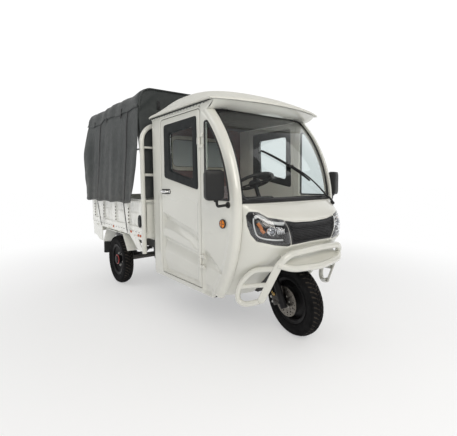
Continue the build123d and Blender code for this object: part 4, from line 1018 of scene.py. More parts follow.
FRAME_OUT = [(1.096, 1.578), (1.588, 1.584), (1.602, 1.052), (1.094, 1.150)]
FRAME_IN = [(1.182, 1.506), (1.536, 1.514), (1.536, 1.124), (1.196, 1.202)]
frame_out = round_corners(FRAME_OUT, 0.026, 5)
frame_in = round_corners(FRAME_IN, 0.030, 6)
door_loop = round_corners([(1.040, 0.340), (1.630, 0.340), (1.630, 1.625), (1.040, 1.625)], (0.012, 0.012, 0.03, 0.03), 4)
door_hole = round_corners([(1.035, 0.335), (1.635, 0.335), (1.635, 1.630), (1.035, 1.630)], (0.014, 0.014, 0.034, 0.034), 4)


def arc_front(z, r):
    return 1.035 + math.sqrt(r * r - (z - 0.907) ** 2)


R_SIDE = 0.9457
front_edge = [(arc_front(z, R_SIDE), z) for z in np.linspace(0.296, 1.655, 60)]
side_loop = [(0.880, 1.655), (0.880, 0.296)] + front_edge
WIN_R = 0.930
quarter = round_corners([(1.688, 0.990), *[(arc_front(z, WIN_R), z) for z in np.linspace(0.990, 1.530, 24)], (1.688, 1.530)], [0.022, 0.018] + [0.0] * 22 + [0.03, 0.03], 5)

side_v, side_f = pressed(side_loop, [door_hole, quarter], side_height, 0.016, (0.004, 0.010))
door_v, door_f = pressed(door_loop, [frame_out], door_height, 0.0085, (0.003, 0.007))


def knuckle(z0, z1):
    return lathe([(0.0, z0), (0.0068, z0), (0.008, z0 + 0.0012), (0.008, z1 - 0.0012), (0.0068, z1), (0.0, z1)], (st(1.636), -0.526, 0), "z", 20)


for tag, mirror in (("right", False), ("left", True)):
    fl = flip if mirror else (lambda s: s)
    piece(f"cab_side_{tag}", *fl(slab((side_v, side_f), lambda q: (q[0], max(-0.4885, q[1] + 0.004), q[2]))), "white", slot="white_paint", replaces=("cab_sides",), angle=40)
    piece(f"door_skin_{tag}", *fl(slab((door_v, door_f), lambda q: (q[0], max(-0.4895, q[1] + 0.004), q[2]))), "white", body=f"door_{tag}", slot="white_paint", replaces=(f"door_panel_{tag}",), angle=40)
    fixed, swing = Bag(), Bag()
    for z in (0.540, 1.400):
        for z0 in (z - 0.050, z + 0.025):
            fixed.add(*fl(knuckle(z0, z0 + 0.025)))
            fixed.add(*fl(rounded_box((st(1.636), -0.5268, z0), (st(1.678), -0.5165, z0 + 0.025), 0.002, 2)))
            fixed.add(*fl(bolt((st(1.664), -0.5268, z0 + 0.0125), (0, -1, 0), 0.0042, 0.003)))
        swing.add(*fl(knuckle(z - 0.024, z + 0.024)))
        swing.add(*fl(rounded_box((st(1.606), -0.5268, z - 0.024), (st(1.636), -0.5165, z + 0.024), 0.002, 2)))
        for dz in (-0.012, 0.012):
            swing.add(*fl(bolt((st(1.617), -0.5268, z + dz), (0, -1, 0), 0.0042, 0.003)))
    fixed.make(f"hinge_fixed_{tag}", "white", slot="white_paint")
    swing.make(f"hinge_leaf_{tag}", "white", body=f"door_{tag}", slot="white_paint")

# black window surround of the door: a flanged frame with a raised inner gasket
for tag, mirror in (("right", False), ("left", True)):
    fl = flip if mirror else (lambda s: s)
    fo, fi = round_corners(FRAME_OUT, 0.026, 6), round_corners(FRAME_IN, 0.030, 6)
    pts, tris, loops = flat_mesh(inset(fo, 0.0006), [fi], 0.03, (0.004, 0.010))
    d_o, d_i = edge_distance(pts, [loops[0]]), edge_distance(pts, loops[1:])
    hh = 0.0025 - 0.0035 * (1 - np.clip(d_o / 0.008, 0, 1)) ** 2 + 0.0012 * np.exp(-((d_i - 0.008) / 0.004) ** 2) - 0.004 * (1 - np.clip(d_i / 0.005, 0, 1)) ** 2
    v = [P(a, -SIDE_Y - h, z) for (a, z), h in zip(pts, hh)]
    f = [tuple(t) if (pts[t[1]][0] - pts[t[0]][0]) * (pts[t[2]][1] - pts[t[0]][1]) - (pts[t[2]][0] - pts[t[0]][0]) * (pts[t[1]][1] - pts[t[0]][1]) > 0 else tuple(reversed(t)) for t in tris]
    piece(f"door_frame_{tag}", *fl(slab((v, f), lambda q: (q[0], -0.4915, q[2]))), "trim", body=f"door_{tag}", slot="black_trim", replaces=(f"door_surround_{tag}",), angle=50)
    # rubber weatherstrip round the door, lying in the gap
    path = [P(a, -SIDE_Y + 0.010, z) for a, z in resample(inset(door_loop, -0.0022), 0.02)]
    s = sweep(path, ring(0.0020, 6), closed=True, up=(0, 1, 0))
    piece(f"door_seal_{tag}", *fl(s), "seal", angle=60)
    # gasket round the quarter light
    gq = resample(quarter, 0.012)
    s = sweep([P(a, -SIDE_Y + 0.001, z) for a, z in inset(gq, 0.004)], rect(0.016, 0.009, 0.004, 3), closed=True, up=(0, -1, 0))
    piece(f"quarter_gasket_{tag}", *fl(s), "seal", angle=60)
    # chrome pull handle
    hb = Bag()
    hb.add(*fl(tube([P(1.066, -0.5165, 1.034), P(1.066, -0.545, 1.034), P(1.176, -0.545, 1.034), P(1.176, -0.5165, 1.034)], 0.0075, 14, bend=0.016)))
    for a in (1.066, 1.176):
        hb.add(*fl(lathe([(0.0, -0.004), (0.011, -0.004), (0.013, -0.001), (0.013, 0.001)], (st(a), -0.5175, 1.034), "y", 20)))
    hb.add(*fl(rounded_box((st(1.078), -0.5525, 1.0235), (st(1.166), -0.540, 1.0445), 0.005, 3)))
    hb.make(f"pull_handle_{tag}", "chrome", body=f"door_{tag}", slot="chrome", replaces=(f"door_handle_{tag}",), angle=60)

# ------------------------------------------------------------------------------------
# nose: one smooth pressing, with the lamps and the grille let into it
# ------------------------------------------------------------------------------------
NOSE = np.array([  # height, station at the side edge, station at the middle, squareness in plan
    (0.320, 1.812, 1.905, 4.0), (0.470, 1.902, 2.020, 4.0), (0.610, 1.978, 2.172, 4.5), (0.700, 2.004, 2.218, 6.5),
    (0.790, 2.020, 2.228, 7.0), (0.870, 2.028, 2.196, 7.0), (0.962, 2.027, 2.086, 6.0)])
NOSE_W = 0.4692


def spline(xk, yk, x):
    """Natural cubic through (xk, yk rows) at x."""
    n = len(xk)
    h = np.diff(xk)
    a = np.zeros((n, n))
    r = np.zeros((n,) + yk.shape[1:])
    a[0, 0] = a[-1, -1] = 1
    for i in range(1, n - 1):
        a[i, i - 1], a[i, i], a[i, i + 1] = h[i - 1], 2 * (h[i - 1] + h[i]), h[i]
        r[i] = 6 * ((yk[i + 1] - yk[i]) / h[i] - (yk[i] - yk[i - 1]) / h[i - 1])
    m = np.linalg.solve(a, r)
    i = np.clip(np.searchsorted(xk, x) - 1, 0, n - 2)
    t0, t1 = xk[i + 1] - x, x - xk[i]
    k = np.arange(len(x))
    g = lambda q, j: q[j, k] if q.ndim > 1 else q[j]
    return g(m, i) * t0**3 / (6 * h[i]) + g(m, i + 1) * t1**3 / (6 * h[i]) + (g(yk, i) / h[i] - g(m, i) * h[i] / 6) * t0 + (g(yk, i + 1) / h[i] - g(m, i + 1) * h[i] / 6) * t1


def nose_x(y, z):
    y, z = np.atleast_1d(np.asarray(y, float)), np.atleast_1d(np.asarray(z, float))
    r = np.minimum(1.0, np.abs(y) / NOSE_W)
    rows = np.stack([xs + (xm - xs) * (1 - r**n) for _, xs, xm, n in NOSE])
    return spline(NOSE[:, 0], rows, z)


def on_nose(y, z, depth=0.0):
    return P(float(nose_x(y, z)[0]) - depth, y, z)


def nose_skin(outer, holes, step, rims, depth):
    """Mesh over an outline (y, z) on the nose, pushed in by depth(y, z, distance to the edges)."""
    pts, tris, loops = flat_mesh(outer, holes, step, rims)
    p = np.array(pts)
    dd = depth(p[:, 0], p[:, 1], edge_distance(pts, [loops[0]]), edge_distance(pts, loops[1:]) if holes else np.full(len(p), 1.0))
    x = nose_x(p[:, 0], p[:, 1]) - dd
    v = [P(a, y, z) for a, (y, z) in zip(x, pts)]
    f = [tuple(t) if (pts[t[1]][0] - pts[t[0]][0]) * (pts[t[2]][1] - pts[t[0]][1]) - (pts[t[2]][0] - pts[t[0]][0]) * (pts[t[1]][1] - pts[t[0]][1]) > 0 else tuple(reversed(t)) for t in tris]
    return v, f


LAMP = [(-0.456, 0.896), (-0.443, 0.921), (-0.402, 0.918), (-0.364, 0.885), (-0.264, 0.865), (-0.215, 0.701), (-0.245, 0.698), (-0.341, 0.714), (-0.425, 0.737), (-0.444, 0.777), (-0.454, 0.833)]
lamp_r = resample(round_corners(LAMP, 0.013, 4), 0.008)
lamp_l = [(-y, z) for y, z in reversed(lamp_r)]
GRILLE = [(-0.260, 0.861), (-0.168, 0.845), (0, 0.838), (0.168, 0.845), (0.260, 0.861), (0.211, 0.704), (0, 0.708), (-0.211, 0.704)]
grille_loop = resample(round_corners(GRILLE, (0.006, 0.1, 0.2, 0.1, 0.006, 0.01, 0.2, 0.01), 5), 0.008)
arch = round_corners([(-NOSE_W, 0.320), (-0.242, 0.320), (-0.206, 0.420), (-0.206, 0.607), (0.206, 0.607), (0.206, 0.420), (0.242, 0.320), (NOSE_W, 0.320), (NOSE_W, 0.962), (-NOSE_W, 0.962)], (0.0, 0.02, 0.06, 0.115, 0.115, 0.06, 0.02, 0.0, 0.0, 0.0), 10)


def nose_depth(y, z, d_out, d_hole):
    lip = -0.004 * np.exp(-((d_hole - 0.012) / 0.010) ** 2) + 0.006 * (1 - np.clip(d_hole / 0.006, 0, 1)) ** 2
    crease = 0.004 * step01(0.708 - 0.10 * (np.abs(y) - 0.23) - z, -0.004, 0.012) * step01(z, 0.60, 0.66) * (1 - step01(np.abs(y), 0.42, 0.455))
    roll = 0.012 * (1 - np.clip(d_out / 0.012, 0, 1)) ** 2 * (z < 0.93)
    return lip + crease + roll


piece("nose_skin", *nose_skin(arch, [lamp_r, grille_loop, lamp_l], 0.012, (0.003, 0.007), nose_depth), "white", slot="white_paint", replaces=("nose_fascia",), angle=50, thick=0.006, offset=-1.0)


def glass_x(y, angle, r=0.978):
    t = math.radians(angle)
    rr = r + 0.045 * (1 - (y / 0.470) ** 2)
    return 1.035 + rr * math.cos(t), 0.907 + rr * math.sin(t)


# cowl ledge between the nose and the foot of the windscreen
rows = []
for k in range(61):
    y = -0.468 + 0.936 * k / 60
    gx, gz = glass_x(y, 3.7)
    nx = float(nose_x(y, 0.962)[0])
    rows.append([P(nx, y, 0.9615), P(nx - 0.004, y, 0.9665), P(max(gx + 0.003, nx - 0.06), y, 0.9705), P(gx - 0.012, y, 0.9675)])
v = [p for r in rows for p in r]
f = [(4 * i + j, 4 * (i + 1) + j, 4 * (i + 1) + j + 1, 4 * i + j + 1) for i in range(60) for j in range(3)]
piece("cowl_ledge", v, f, "white", slot="white_paint", angle=60, thick=0.004, offset=-1.0)

# headlamps
M["drl"] = plastic("light_guide", (0.52, 0.535, 0.54), 0.18, grain=0.02, var=0.05)
M["turn"] = plastic("turn_strip", (0.40, 0.125, 0.02), 0.16, grain=0.02)
M["projector"] = metal("projector_lens", (0.34, 0.35, 0.37), 0.08, var=0.05, grain=0.0)
M["grille"] = plastic("grille_black", (0.010, 0.010, 0.011), 0.34, grain=0.03)
M["mirror"] = metal("mirror_silver", (0.86, 0.87, 0.88), 0.04, var=0.01, grain=0.0)
for side, tag in ((-1, "right"), (1, "left")):
    loop = lamp_r if side < 0 else lamp_l
    sy = lambda y: y * (-side)                       # outlines above are for the right lamp
    inner = inset(loop, 0.015)
    b = Bag()
    b.add(*nose_skin(inset(loop, 0.0012), [inner], 0.014, (), lambda y, z, do, dh: 0.005 + 0.004 * np.clip(1 - dh / 0.012, 0, 1)))
    n = len(inner)
    wall = [on_nose(y, z, 0.009) for y, z in inner] + [on_nose(y, z, 0.058) for y, z in inset(inner, 0.004)]
    b.add(wall, [(i, (i + 1) % n, n + (i + 1) % n, n + i) for i in range(n)])
    b.add(*nose_skin(inset(inner, 0.004), [], 0.014, (), lambda y, z, do, dh: 0.058 - 0.020 * np.exp(-((np.abs(y) - 0.315) / 0.05) ** 2 - ((z - 0.80) / 0.05) ** 2)))
    b.make(f"lamp_bezel_{tag}", "gloss_black", slot="black_trim", angle=45)
    g = Bag()
    top = smooth_path([on_nose(sy(y), z, 0.013) for y, z in ((-0.424, 0.884), (-0.404, 0.893), (-0.386, 0.880), (-0.362, 0.858), (-0.320, 0.848), (-0.268, 0.842))], 36)
    low = smooth_path([on_nose(sy(y), z, 0.015) for y, z in ((-0.428, 0.880), (-0.431, 0.845), (-0.427, 0.800), (-0.418, 0.770), (-0.392, 0.754), (-0.340, 0.746), (-0.285, 0.742))], 44)
    g.add(*sweep(top, rect(0.010, 0.021, 0.004, 3), up=(0, 0, 1)))
    g.add(*sweep(low, rect(0.009, 0.010, 0.004, 3), up=(0, 0, 1)))
    g.make(f"lamp_guide_{tag}", "drl")
    a = Bag()
    path = smooth_path([on_nose(sy(y), z, 0.026) for y, z in ((-0.411, 0.850), (-0.402, 0.826), (-0.398, 0.806), (-0.388, 0.790))], 16)
    a.add(*sweep(path, rect(0.016, 0.020, 0.006, 3), up=(0, 0, 1)))
    a.make(f"lamp_turn_{tag}", "turn", slot="lamp_amber")
    cx, cy, cz = on_nose(sy(-0.348), 0.800, 0.030)
    pr = Bag()
    pr.add(*lathe([(0.0, 0.010), (0.010, 0.009), (0.019, 0.004), (0.024, -0.004)], (cx, cy, cz), "x", 28))
    pr.make(f"lamp_projector_{tag}", "projector", slot="chrome", angle=60)
    rg = Bag()
    rg.add(*lathe([(0.024, -0.020), (0.030, -0.018), (0.031, 0.004), (0.0285, 0.007), (0.0255, 0.003), (0.0245, -0.010)], (cx, cy, cz), "x", 36))
    for k in range(5):                               # reflector fins beside the projector
        y0 = sy(-0.312 + 0.012 * k)
        rg.add(*rounded_box((cx - 0.016, y0 - 0.0022, 0.778), (float(nose_x(y0, 0.80)[0]) + XR - 0.022, y0 + 0.0022, 0.826 - 0.004 * k), 0.001, 1))
    rg.make(f"lamp_reflector_{tag}", "chrome", slot="chrome", angle=50)
    cover = nose_skin(inset(loop, 0.0006), [], 0.012, (0.003,), lambda y, z, do, dh: 0.0005 + 0.003 * (1 - np.clip(do / 0.005, 0, 1)) ** 2)
    piece(f"lamp_lens_{tag}", *slab(cover, lambda q: (q[0] - 0.0025, q[1], q[2])), "lens", slot="lamp_glass", replaces=("headlamps",), angle=60)

# grille: gloss black panel with fine horizontal slats
gl = Bag()
gl.add(*nose_skin(inset(grille_loop, 0.0008), [], 0.012, (0.003, 0.008), lambda y, z, do, dh: 0.004 + 0.010 * step01(do, 0.006, 0.016)))
for k in range(11):
    z = 0.724 + 0.0108 * k
    half = 0.196 + 0.030 * (z - 0.72) / 0.12 - (0.012 if k % 2 else 0.0)
    pts = [on_nose(y, z, 0.0105) for y in np.linspace(-half, half, 41)]
    gl.add(*sweep(pts, rect(0.008, 0.0036, 0.0014, 2), up=(0, 0, 1)))
gl.make("grille_panel", "grille", slot="black_trim", replaces=("grille",), angle=45)

# bumper: one tube that flattens into a strip down each corner, a bowed lower tube, a shelf, guard loops
bp = [(2.084, -0.366, 0.322), (2.208, -0.322, 0.588), (2.240, -0.270, 0.652), (2.262, 0.0, 0.667), (2.240, 0.270, 0.652), (2.208, 0.322, 0.588), (2.084, 0.366, 0.322)]
path = rounded_path([P(*q) for q in bp], [0.10, 0.16, 0.5, 0.16, 0.10], 14)
run = np.concatenate([[0], np.cumsum(np.linalg.norm(np.diff(path, axis=0), axis=1))])
NB, NP = 220, 20
s_ = np.linspace(0, run[-1], NB)
path = np.stack([np.interp(s_, run, path[:, i]) for i in range(3)], 1)
tan = np.gradient(path, axis=0)
tan /= np.linalg.norm(tan, axis=1)[:, None]
flat = rect(0.050, 0.012, 0.005, NP // 4 - 1)
bars = Bag()
v = []
for i in range(NB):
    d = min(s_[i], run[-1] - s_[i])
    k = 1 - float(step01(d, 0.25, 0.345))                # 1 on the strip, 0 on the tube
    end = math.sqrt(max(0.05, 1 - max(0.0, 1 - d / 0.022) ** 2))
    nv = np.array((0.83, 0.56 * float(np.clip(path[i][1] / 0.15, -1, 1)), 0.0))
    nv -= (nv @ tan[i]) * tan[i]
    nv /= np.linalg.norm(nv)
    sd = np.cross(tan[i], nv)
    for j, (ra, rb) in enumerate(flat):
        t = math.radians(-90 + 360 * (j + 0.5) / NP)
        a, b = 0.0225 * math.cos(t) * (1 - k) + ra * k * end, 0.0225 * math.sin(t) * (1 - k) + rb * k
        v.append(path[i] + sd * a + nv * b)
f = [(i * NP + j, (i + 1) * NP + j, (i + 1) * NP + (j + 1) % NP, i * NP + (j + 1) % NP) for i in range(NB - 1) for j in range(NP)]
f += [tuple(range(NP)), tuple((NB - 1) * NP + j for j in reversed(range(NP)))]
bars.add(v, [tuple(reversed(q)) for q in f])
low_path = rounded_path([P(*q) for q in ((2.200, -0.324, 0.590), (2.258, -0.246, 0.560), (2.290, 0.0, 0.548), (2.258, 0.246, 0.560), (2.200, 0.324, 0.590))], [0.30, 0.6, 0.30], 14)
bars.add(*sweep(low_path, ring(0.0225, 20)))
for s in (-1, 1):
    fl = flip if s > 0 else (lambda q: q)
    loop_ = smooth_path([P(*q) for q in ((2.172, -0.326, 0.556), (2.110, -0.352, 0.546), (2.046, -0.392, 0.526), (1.990, -0.436, 0.455), (1.966, -0.452, 0.385), (1.966, -0.450, 0.330), (1.996, -0.431, 0.307), (2.036, -0.404, 0.313), (2.080, -0.370, 0.332))], 70)
    bars.add(*fl(sweep(loop_, ring(0.0185, 18))))
    bars.add(*fl(sweep(smooth_path([P(1.980, -0.440, 0.418), P(2.050, -0.392, 0.434), P(2.132, -0.350, 0.450)], 12), ring(0.0155, 16))))
bars.make("bumper_tubes", "white", slot="white_paint", replaces=("front_bumper",), angle=50)


def shelf_at(u, w):
    y = -0.270 + 0.540 * u
    x1, z1 = float(np.interp(y, low_path[:, 1], low_path[:, 0])) - XR, float(np.interp(y, low_path[:, 1], low_path[:, 2]))
    x0 = min(2.190, float(nose_x(y, 0.636)[0]) - 0.003)
    return P(x0 + (x1 + 0.004 - x0) * w, y, 0.636 + (z1 + 0.018 - 0.636) * w - 0.012 * math.sin(math.pi * w))


piece("bumper_shelf", *slab(grid(45, 12, shelf_at), lambda q: (q[0] - 0.0035, q[1], q[2] - 0.0045)), "white", slot="white_paint", angle=50)

# ------------------------------------------------------------------------------------
# wheels: tyres with tread blocks, hub caps, wheel bolts
# ------------------------------------------------------------------------------------
RAKE, STEER = math.radians(24.0), math.radians(-9.0)
AXIS_FOOT = Vector((st(2.060) - 0.040 * math.cos(RAKE), 0, 0.262 - 0.040 * math.sin(RAKE)))
AXIS_DIR = Vector((-math.sin(RAKE), 0, math.cos(RAKE)))
TURN = Matrix.Translation(AXIS_FOOT) @ Matrix.Rotation(STEER, 4, AXIS_DIR) @ Matrix.Translation(-AXIS_FOOT)


def turned(shape):
    """A steered shape at the angle the steering stands at."""
    v, f = shape
    return [tuple(TURN @ Vector(p)) for p in v], f


def crown(y):
    return 0.262 - 0.0072 * (y / 0.040) ** 2 * (1 + 0.6 * (abs(y) / 0.046) ** 4)


PITCHES = 46
TREAD = [  # edges across the tyre, shift along it, share of the pitch, slant
    (-0.0455, -0.0190, 0.0, 0.66, -0.34), (-0.0165, -0.0020, 0.45, 0.74, -0.22), (0.0020, 0.0165, 0.95, 0.74, 0.22), (0.0190, 0.0455, 0.5, 0.66, 0.34)]


def tyre_shape(xc, yc, zc=0.262):
    b = Bag()
    half = [(0.166, 0.0365), (0.172, 0.0395), (0.177, 0.0425), (0.180, 0.0458), (0.183, 0.0462), (0.185, 0.0448), (0.198, 0.0495), (0.212, 0.0513), (0.225, 0.0508),
            (0.2262, 0.0518), (0.2302, 0.0514), (0.2312, 0.0502), (0.240, 0.0480), (0.2455, 0.0458), (0.2480, 0.0432)]
    half += [(crown(y) - 0.0066, y) for y in (0.040, 0.030, 0.020, 0.010, 0.0)]
    b.add(*lathe(half + [(r, -y) for r, y in reversed(half[:-1])], (xc, yc, zc), "y", 96))
    step = 2 * math.pi / PITCHES
    for y0, y1, shift, share, slant in TREAD:
        for k in range(PITCHES):
            t0 = (k + shift) * step
            size = share * (1.0 + 0.06 * math.sin(k * 2.4))
            ring_ = []
            for t, y in ((0, y0), (size, y0), (size, y1), (0, y1)):
                ring_.append((t0 + (t + slant * (y - y0) / (y1 - y0)) * step, y))
            cy = (y0 + y1) / 2
            ct = sum(q[0] for q in ring_) / 4
            v = []
            for sink, k_in in ((0.0085, 1.03), (0.0012, 1.0), (0.0, 0.90)):
                for t, y in ring_:
                    yy, tt = cy + (y - cy) * k_in, ct + (t - ct) * k_in
                    r = crown(yy) - sink
                    v.append((xc + r * math.cos(tt), yc + yy, zc + r * math.sin(tt)))
            f = [(i, (i + 1) % 4, 4 + (i + 1) % 4, 4 + i) for i in range(4)] + [(4 + i, 4 + (i + 1) % 4, 8 + (i + 1) % 4, 8 + i) for i in range(4)] + [(8, 9, 10, 11)]
            b.add(v, f)
    for s in (-1, 1):                                # fine ribs round the shoulder of each side wall
        for k in range(PITCHES * 2):
            t = (k + 0.3) * step / 2
            v = []
            for r, y in ((0.2335, 0.0496), (0.2435, 0.0468)):
                for dt in (-0.012, 0.012):
                    for up_ in (-0.001, 0.0016):
                        v.append((xc + r * math.cos(t + dt), yc + s * (y + up_), zc + r * math.sin(t + dt)))
            b.add(v, [(0, 1, 3, 2), (4, 6, 7, 5), (0, 4, 5, 1), (2, 3, 7, 6), (1, 5, 7, 3)])
    return b.v, b.f


def groove_shape(xc, yc):
    return lathe([(crown(y) - 0.0058, y) for y in np.linspace(0.0425, -0.0425, 13)], (xc, yc, 0.262), "y", 96)


M["dust"] = plastic("tread_dust", (0.036, 0.029, 0.022), 0.9, grain=0.3, scale=300, var=0.45)
piece("front_tread_dust", *turned(groove_shape(st(2.060), 0)), "dust", body="front_wheel", angle=40)
for s, tag in ((-1, "right"), (1, "left")):
    piece(f"rear_tread_dust_{tag}", *groove_shape(XR, s * 0.505), "dust", body=f"rear_wheel_{tag}", angle=40)
piece("front_tyre_tread", *turned(tyre_shape(st(2.060), 0)), "tyre", body="front_wheel", slot="tyre_rubber", replaces=("front_tyre",), angle=30)
front_bits = Bag()
for k in range(5):
    t = math.radians(72 * k + 20)
    front_bits.add(*turned(bolt((st(2.060) + 0.052 * math.cos(t), 0.004, 0.262 + 0.052 * math.sin(t)), (0, 1, 0), 0.006, 0.007)))
front_bits.add(*turned(lathe([(0.0365, 0.030), (0.042, 0.030), (0.042, 0.046), (0.0375, 0.0495)], (st(2.060), 0, 0.262), "y", 40)))
for k in range(6):                                   # bolts that hold the brake disc
    t = math.radians(60 * k + 10)
    front_bits.add(*turned(bolt((st(2.060) + 0.040 * math.cos(t), -0.0745, 0.262 + 0.040 * math.sin(t)), (0, -1, 0), 0.0048, 0.004)))
front_bits.make("front_hub_bolts", "galv", body="front_wheel", angle=40)
M["hub_red"] = paint("hub_red", (0.42, 0.02, 0.018), 0.3, var=0.15, coat=0.5)
for tag, s in (("right", -1), ("left", 1)):
    fl = flip if s > 0 else (lambda q: q)
    body = f"rear_wheel_{tag}"
    piece(f"rear_tyre_tread_{tag}", *tyre_shape(XR, s * 0.505), "tyre", body=body, slot="tyre_rubber", replaces=(f"rear_tyre_{tag}",), angle=30)
    cap, ring_b, bolts = Bag(), Bag(), Bag()
    cap.add(*fl(lathe([(0.0445, 0.004), (0.0445, -0.004), (0.041, -0.0085), (0.036, -0.0095), (0.034, -0.0125), (0.020, -0.0160), (0.007, -0.0170), (0.0, -0.0170)], (XR, -0.544, 0.262), "y", 40)))
    cap.make(f"hub_cap_{tag}", "rim", body=body, slot="rim_black", angle=40)
    ring_b.add(*fl(lathe([(0.0445, 0.002), (0.0515, 0.000), (0.0530, -0.003), (0.0510, -0.006), (0.0450, -0.007)], (XR, -0.541, 0.262), "y", 44)))
    ring_b.make(f"hub_ring_{tag}", "hub_red", body=body, angle=60)
    for k in range(5):
        t = math.radians(72 * k + 54)
        bolts.add(*fl(bolt((XR + 0.070 * math.cos(t), -0.5055, 0.262 + 0.070 * math.sin(t)), (0, -1, 0), 0.0085, 0.012)))
    bolts.add(*fl(tube([(XR + 0.146, -0.505, 0.262), (XR + 0.142, -0.528, 0.262), (XR + 0.138, -0.542, 0.262)], 0.0042, 8)))
    bolts.make(f"wheel_bolts_{tag}", "galv", body=body, angle=40)
# brake caliper: two halves over the disc, a bridge, piston bosses, a bracket, bolts
FORK = Matrix(((math.cos(RAKE), 0, -math.sin(RAKE), AXIS_FOOT.x), (0, 1, 0, 0), (math.sin(RAKE), 0, math.cos(RAKE), AXIS_FOOT.z), (0, 0, 0, 1)))


def on_fork(shape):
    """Shape given along the steering axis: forward, left, up from its foot."""
    v, f = shape
    return turned(([tuple(FORK @ Vector(p)) for p in v], f))


cal, brass_b, pins = Bag(), Bag(), Bag()
DISC_Y = -0.072
for y0, y1 in ((-0.0985, DISC_Y - 0.0062), (DISC_Y + 0.0062, -0.0555)):
    cal.add(*on_fork(rounded_box((-0.088, y0, -0.012), (-0.022, y1, 0.076), 0.007, 3)))
cal.add(*on_fork(rounded_box((-0.0915, -0.095, -0.004), (-0.0785, -0.058, 0.068), 0.005, 3)))
for z in (0.014, 0.050):
    cal.add(*on_fork(lathe([(0.0, -0.0075), (0.0105, -0.0070), (0.0135, -0.0050), (0.0155, 0.0), (0.0155, 0.006)], (-0.054, -0.0985, z), "y", 28)))
    pins.add(*on_fork(bolt((-0.083, -0.0985, z + 0.004), (0, -1, 0), 0.0055, 0.006)))
cal.add(*on_fork(rounded_box((-0.024, -0.0985, 0.009), (0.0150, -0.0892, 0.059), 0.004, 2)))
for z in (0.018, 0.050):
    pins.add(*on_fork(bolt((0.004, -0.0985, z), (0, -1, 0), 0.0055, 0.006)))
brass_b.add(*on_fork(lathe([(0.0, -0.012), (0.006, -0.012), (0.0065, -0.006), (0.0105, -0.005), (0.0105, 0.003), (0.008, 0.004)], (-0.036, -0.0985, 0.066), "y", 18)))
brass_b.add(*on_fork(lathe([(0.0, 0.017), (0.0028, 0.016), (0.0034, 0.008), (0.0052, 0.007), (0.0052, 0.0)], (-0.070, -0.088, 0.075), "z", 14)))
cal.make("caliper_body", "cast", body="steering", slot="cast_grey", replaces=("brake_caliper",), angle=40)
pins.make("caliper_bolts", "galv", body="steering", angle=40)
brass_b.make("brake_banjo", "brass", body="steering", angle=40)

# ------------------------------------------------------------------------------------
# roof: domed skin with a rolled lip, gutters, head lining
# ------------------------------------------------------------------------------------
def roof_rise(a, y):
    front = 1.826 + 0.118 * (1 - (y / 0.560) ** 2)
    back = 1 - np.clip(1 - (a - 0.905) / 0.329, 0, 1) ** 1.45
    ahead = 1 - np.clip(1 - (front - a) / 0.537, 0, 1) ** 1.69
    return 0.154 * (1 - np.abs(y / 0.565) ** 4.66) * back * ahead


def roof_base(a):
    return np.interp(a, (0.858, 1.680, 1.780, 1.860, 1.945), (1.657, 1.657, 1.656, 1.654, 1.650))


plan = [(1.826 + 0.118 * (1 - (y / 0.5645) ** 2), y) for y in np.linspace(-0.5645, 0.5645, 61)]
plan = round_corners([(0.8585, 0.5645), (0.8585, -0.5645)] + plan, [0.10, 0.10, 0.012] + [0.0] * 59 + [0.012], 9)
pts, tris, loops = flat_mesh(plan, [], 0.024, (0.004, 0.010, 0.018))
pa = np.array(pts)
d_edge = edge_distance(pts, loops)
zz = roof_base(pa[:, 0]) + 0.0155 + roof_rise(pa[:, 0], pa[:, 1])
zz -= 0.0095 * (1 - np.clip(d_edge / 0.014, 0, 1)) ** 2.2
zz += 0.0016 * np.exp(-((d_edge - 0.050) / 0.010) ** 2) * (1 - step01(pa[:, 0], 1.70, 1.80))
v = [P(a, y, z) for (a, y), z in zip(pts, zz)]
f = [tuple(t) if (pts[t[1]][0] - pts[t[0]][0]) * (pts[t[2]][1] - pts[t[0]][1]) - (pts[t[2]][0] - pts[t[0]][0]) * (pts[t[1]][1] - pts[t[0]][1]) > 0 else tuple(reversed(t)) for t in tris]
piece("roof_skin", v, f, "gel", slot="white_paint", replaces=("roof",), angle=60, thick=0.007, offset=-1.0)
# the lip's turned-under flange, all round
n = len(loops[0])
under = Bag()
inn = inset(loops[0], 0.030)
outer_ = [P(a, y, float(roof_base(np.array(a))) + 0.0004) for a, y in inset(loops[0], 0.0006)]
top_ = [P(a, y, float(roof_base(np.array(a))) + 0.0060) for a, y in loops[0]]
inner_ = [P(a, y, float(roof_base(np.array(a))) + 0.0010) for a, y in inn]
under.add(top_ + outer_ + inner_, [(i, n + i, n + (i + 1) % n, (i + 1) % n) for i in range(n)] + [(n + i, 2 * n + i, 2 * n + (i + 1) % n, n + (i + 1) % n) for i in range(n)])
under.make("roof_lip", "gel", slot="white_paint", angle=40, thick=0.0015, offset=-1.0)
# underside panel of the visor, and the head lining over the cab
cab_roof = [(a, y) for a, y in inset(loops[0], 0.029)]
pts, tris, loops2 = flat_mesh(cab_roof, [], 0.04, (0.012,))
pa = np.array(pts)
d = edge_distance(pts, loops2)
zz = roof_base(pa[:, 0]) + 0.0014 + np.minimum(roof_rise(pa[:, 0], pa[:, 1]) * 0.55, 0.020) * step01(d, 0.0, 0.05)
v = [P(a, y, z) for (a, y), z in zip(pts, zz)]
f = [tuple(t) if (pts[t[1]][0] - pts[t[0]][0]) * (pts[t[2]][1] - pts[t[0]][1]) - (pts[t[2]][0] - pts[t[0]][0]) * (pts[t[1]][1] - pts[t[0]][1]) < 0 else tuple(reversed(t)) for t in tris]
piece("visor_underside", v, f, "white", slot="white_paint", angle=60, thick=0.002, offset=-1.0)


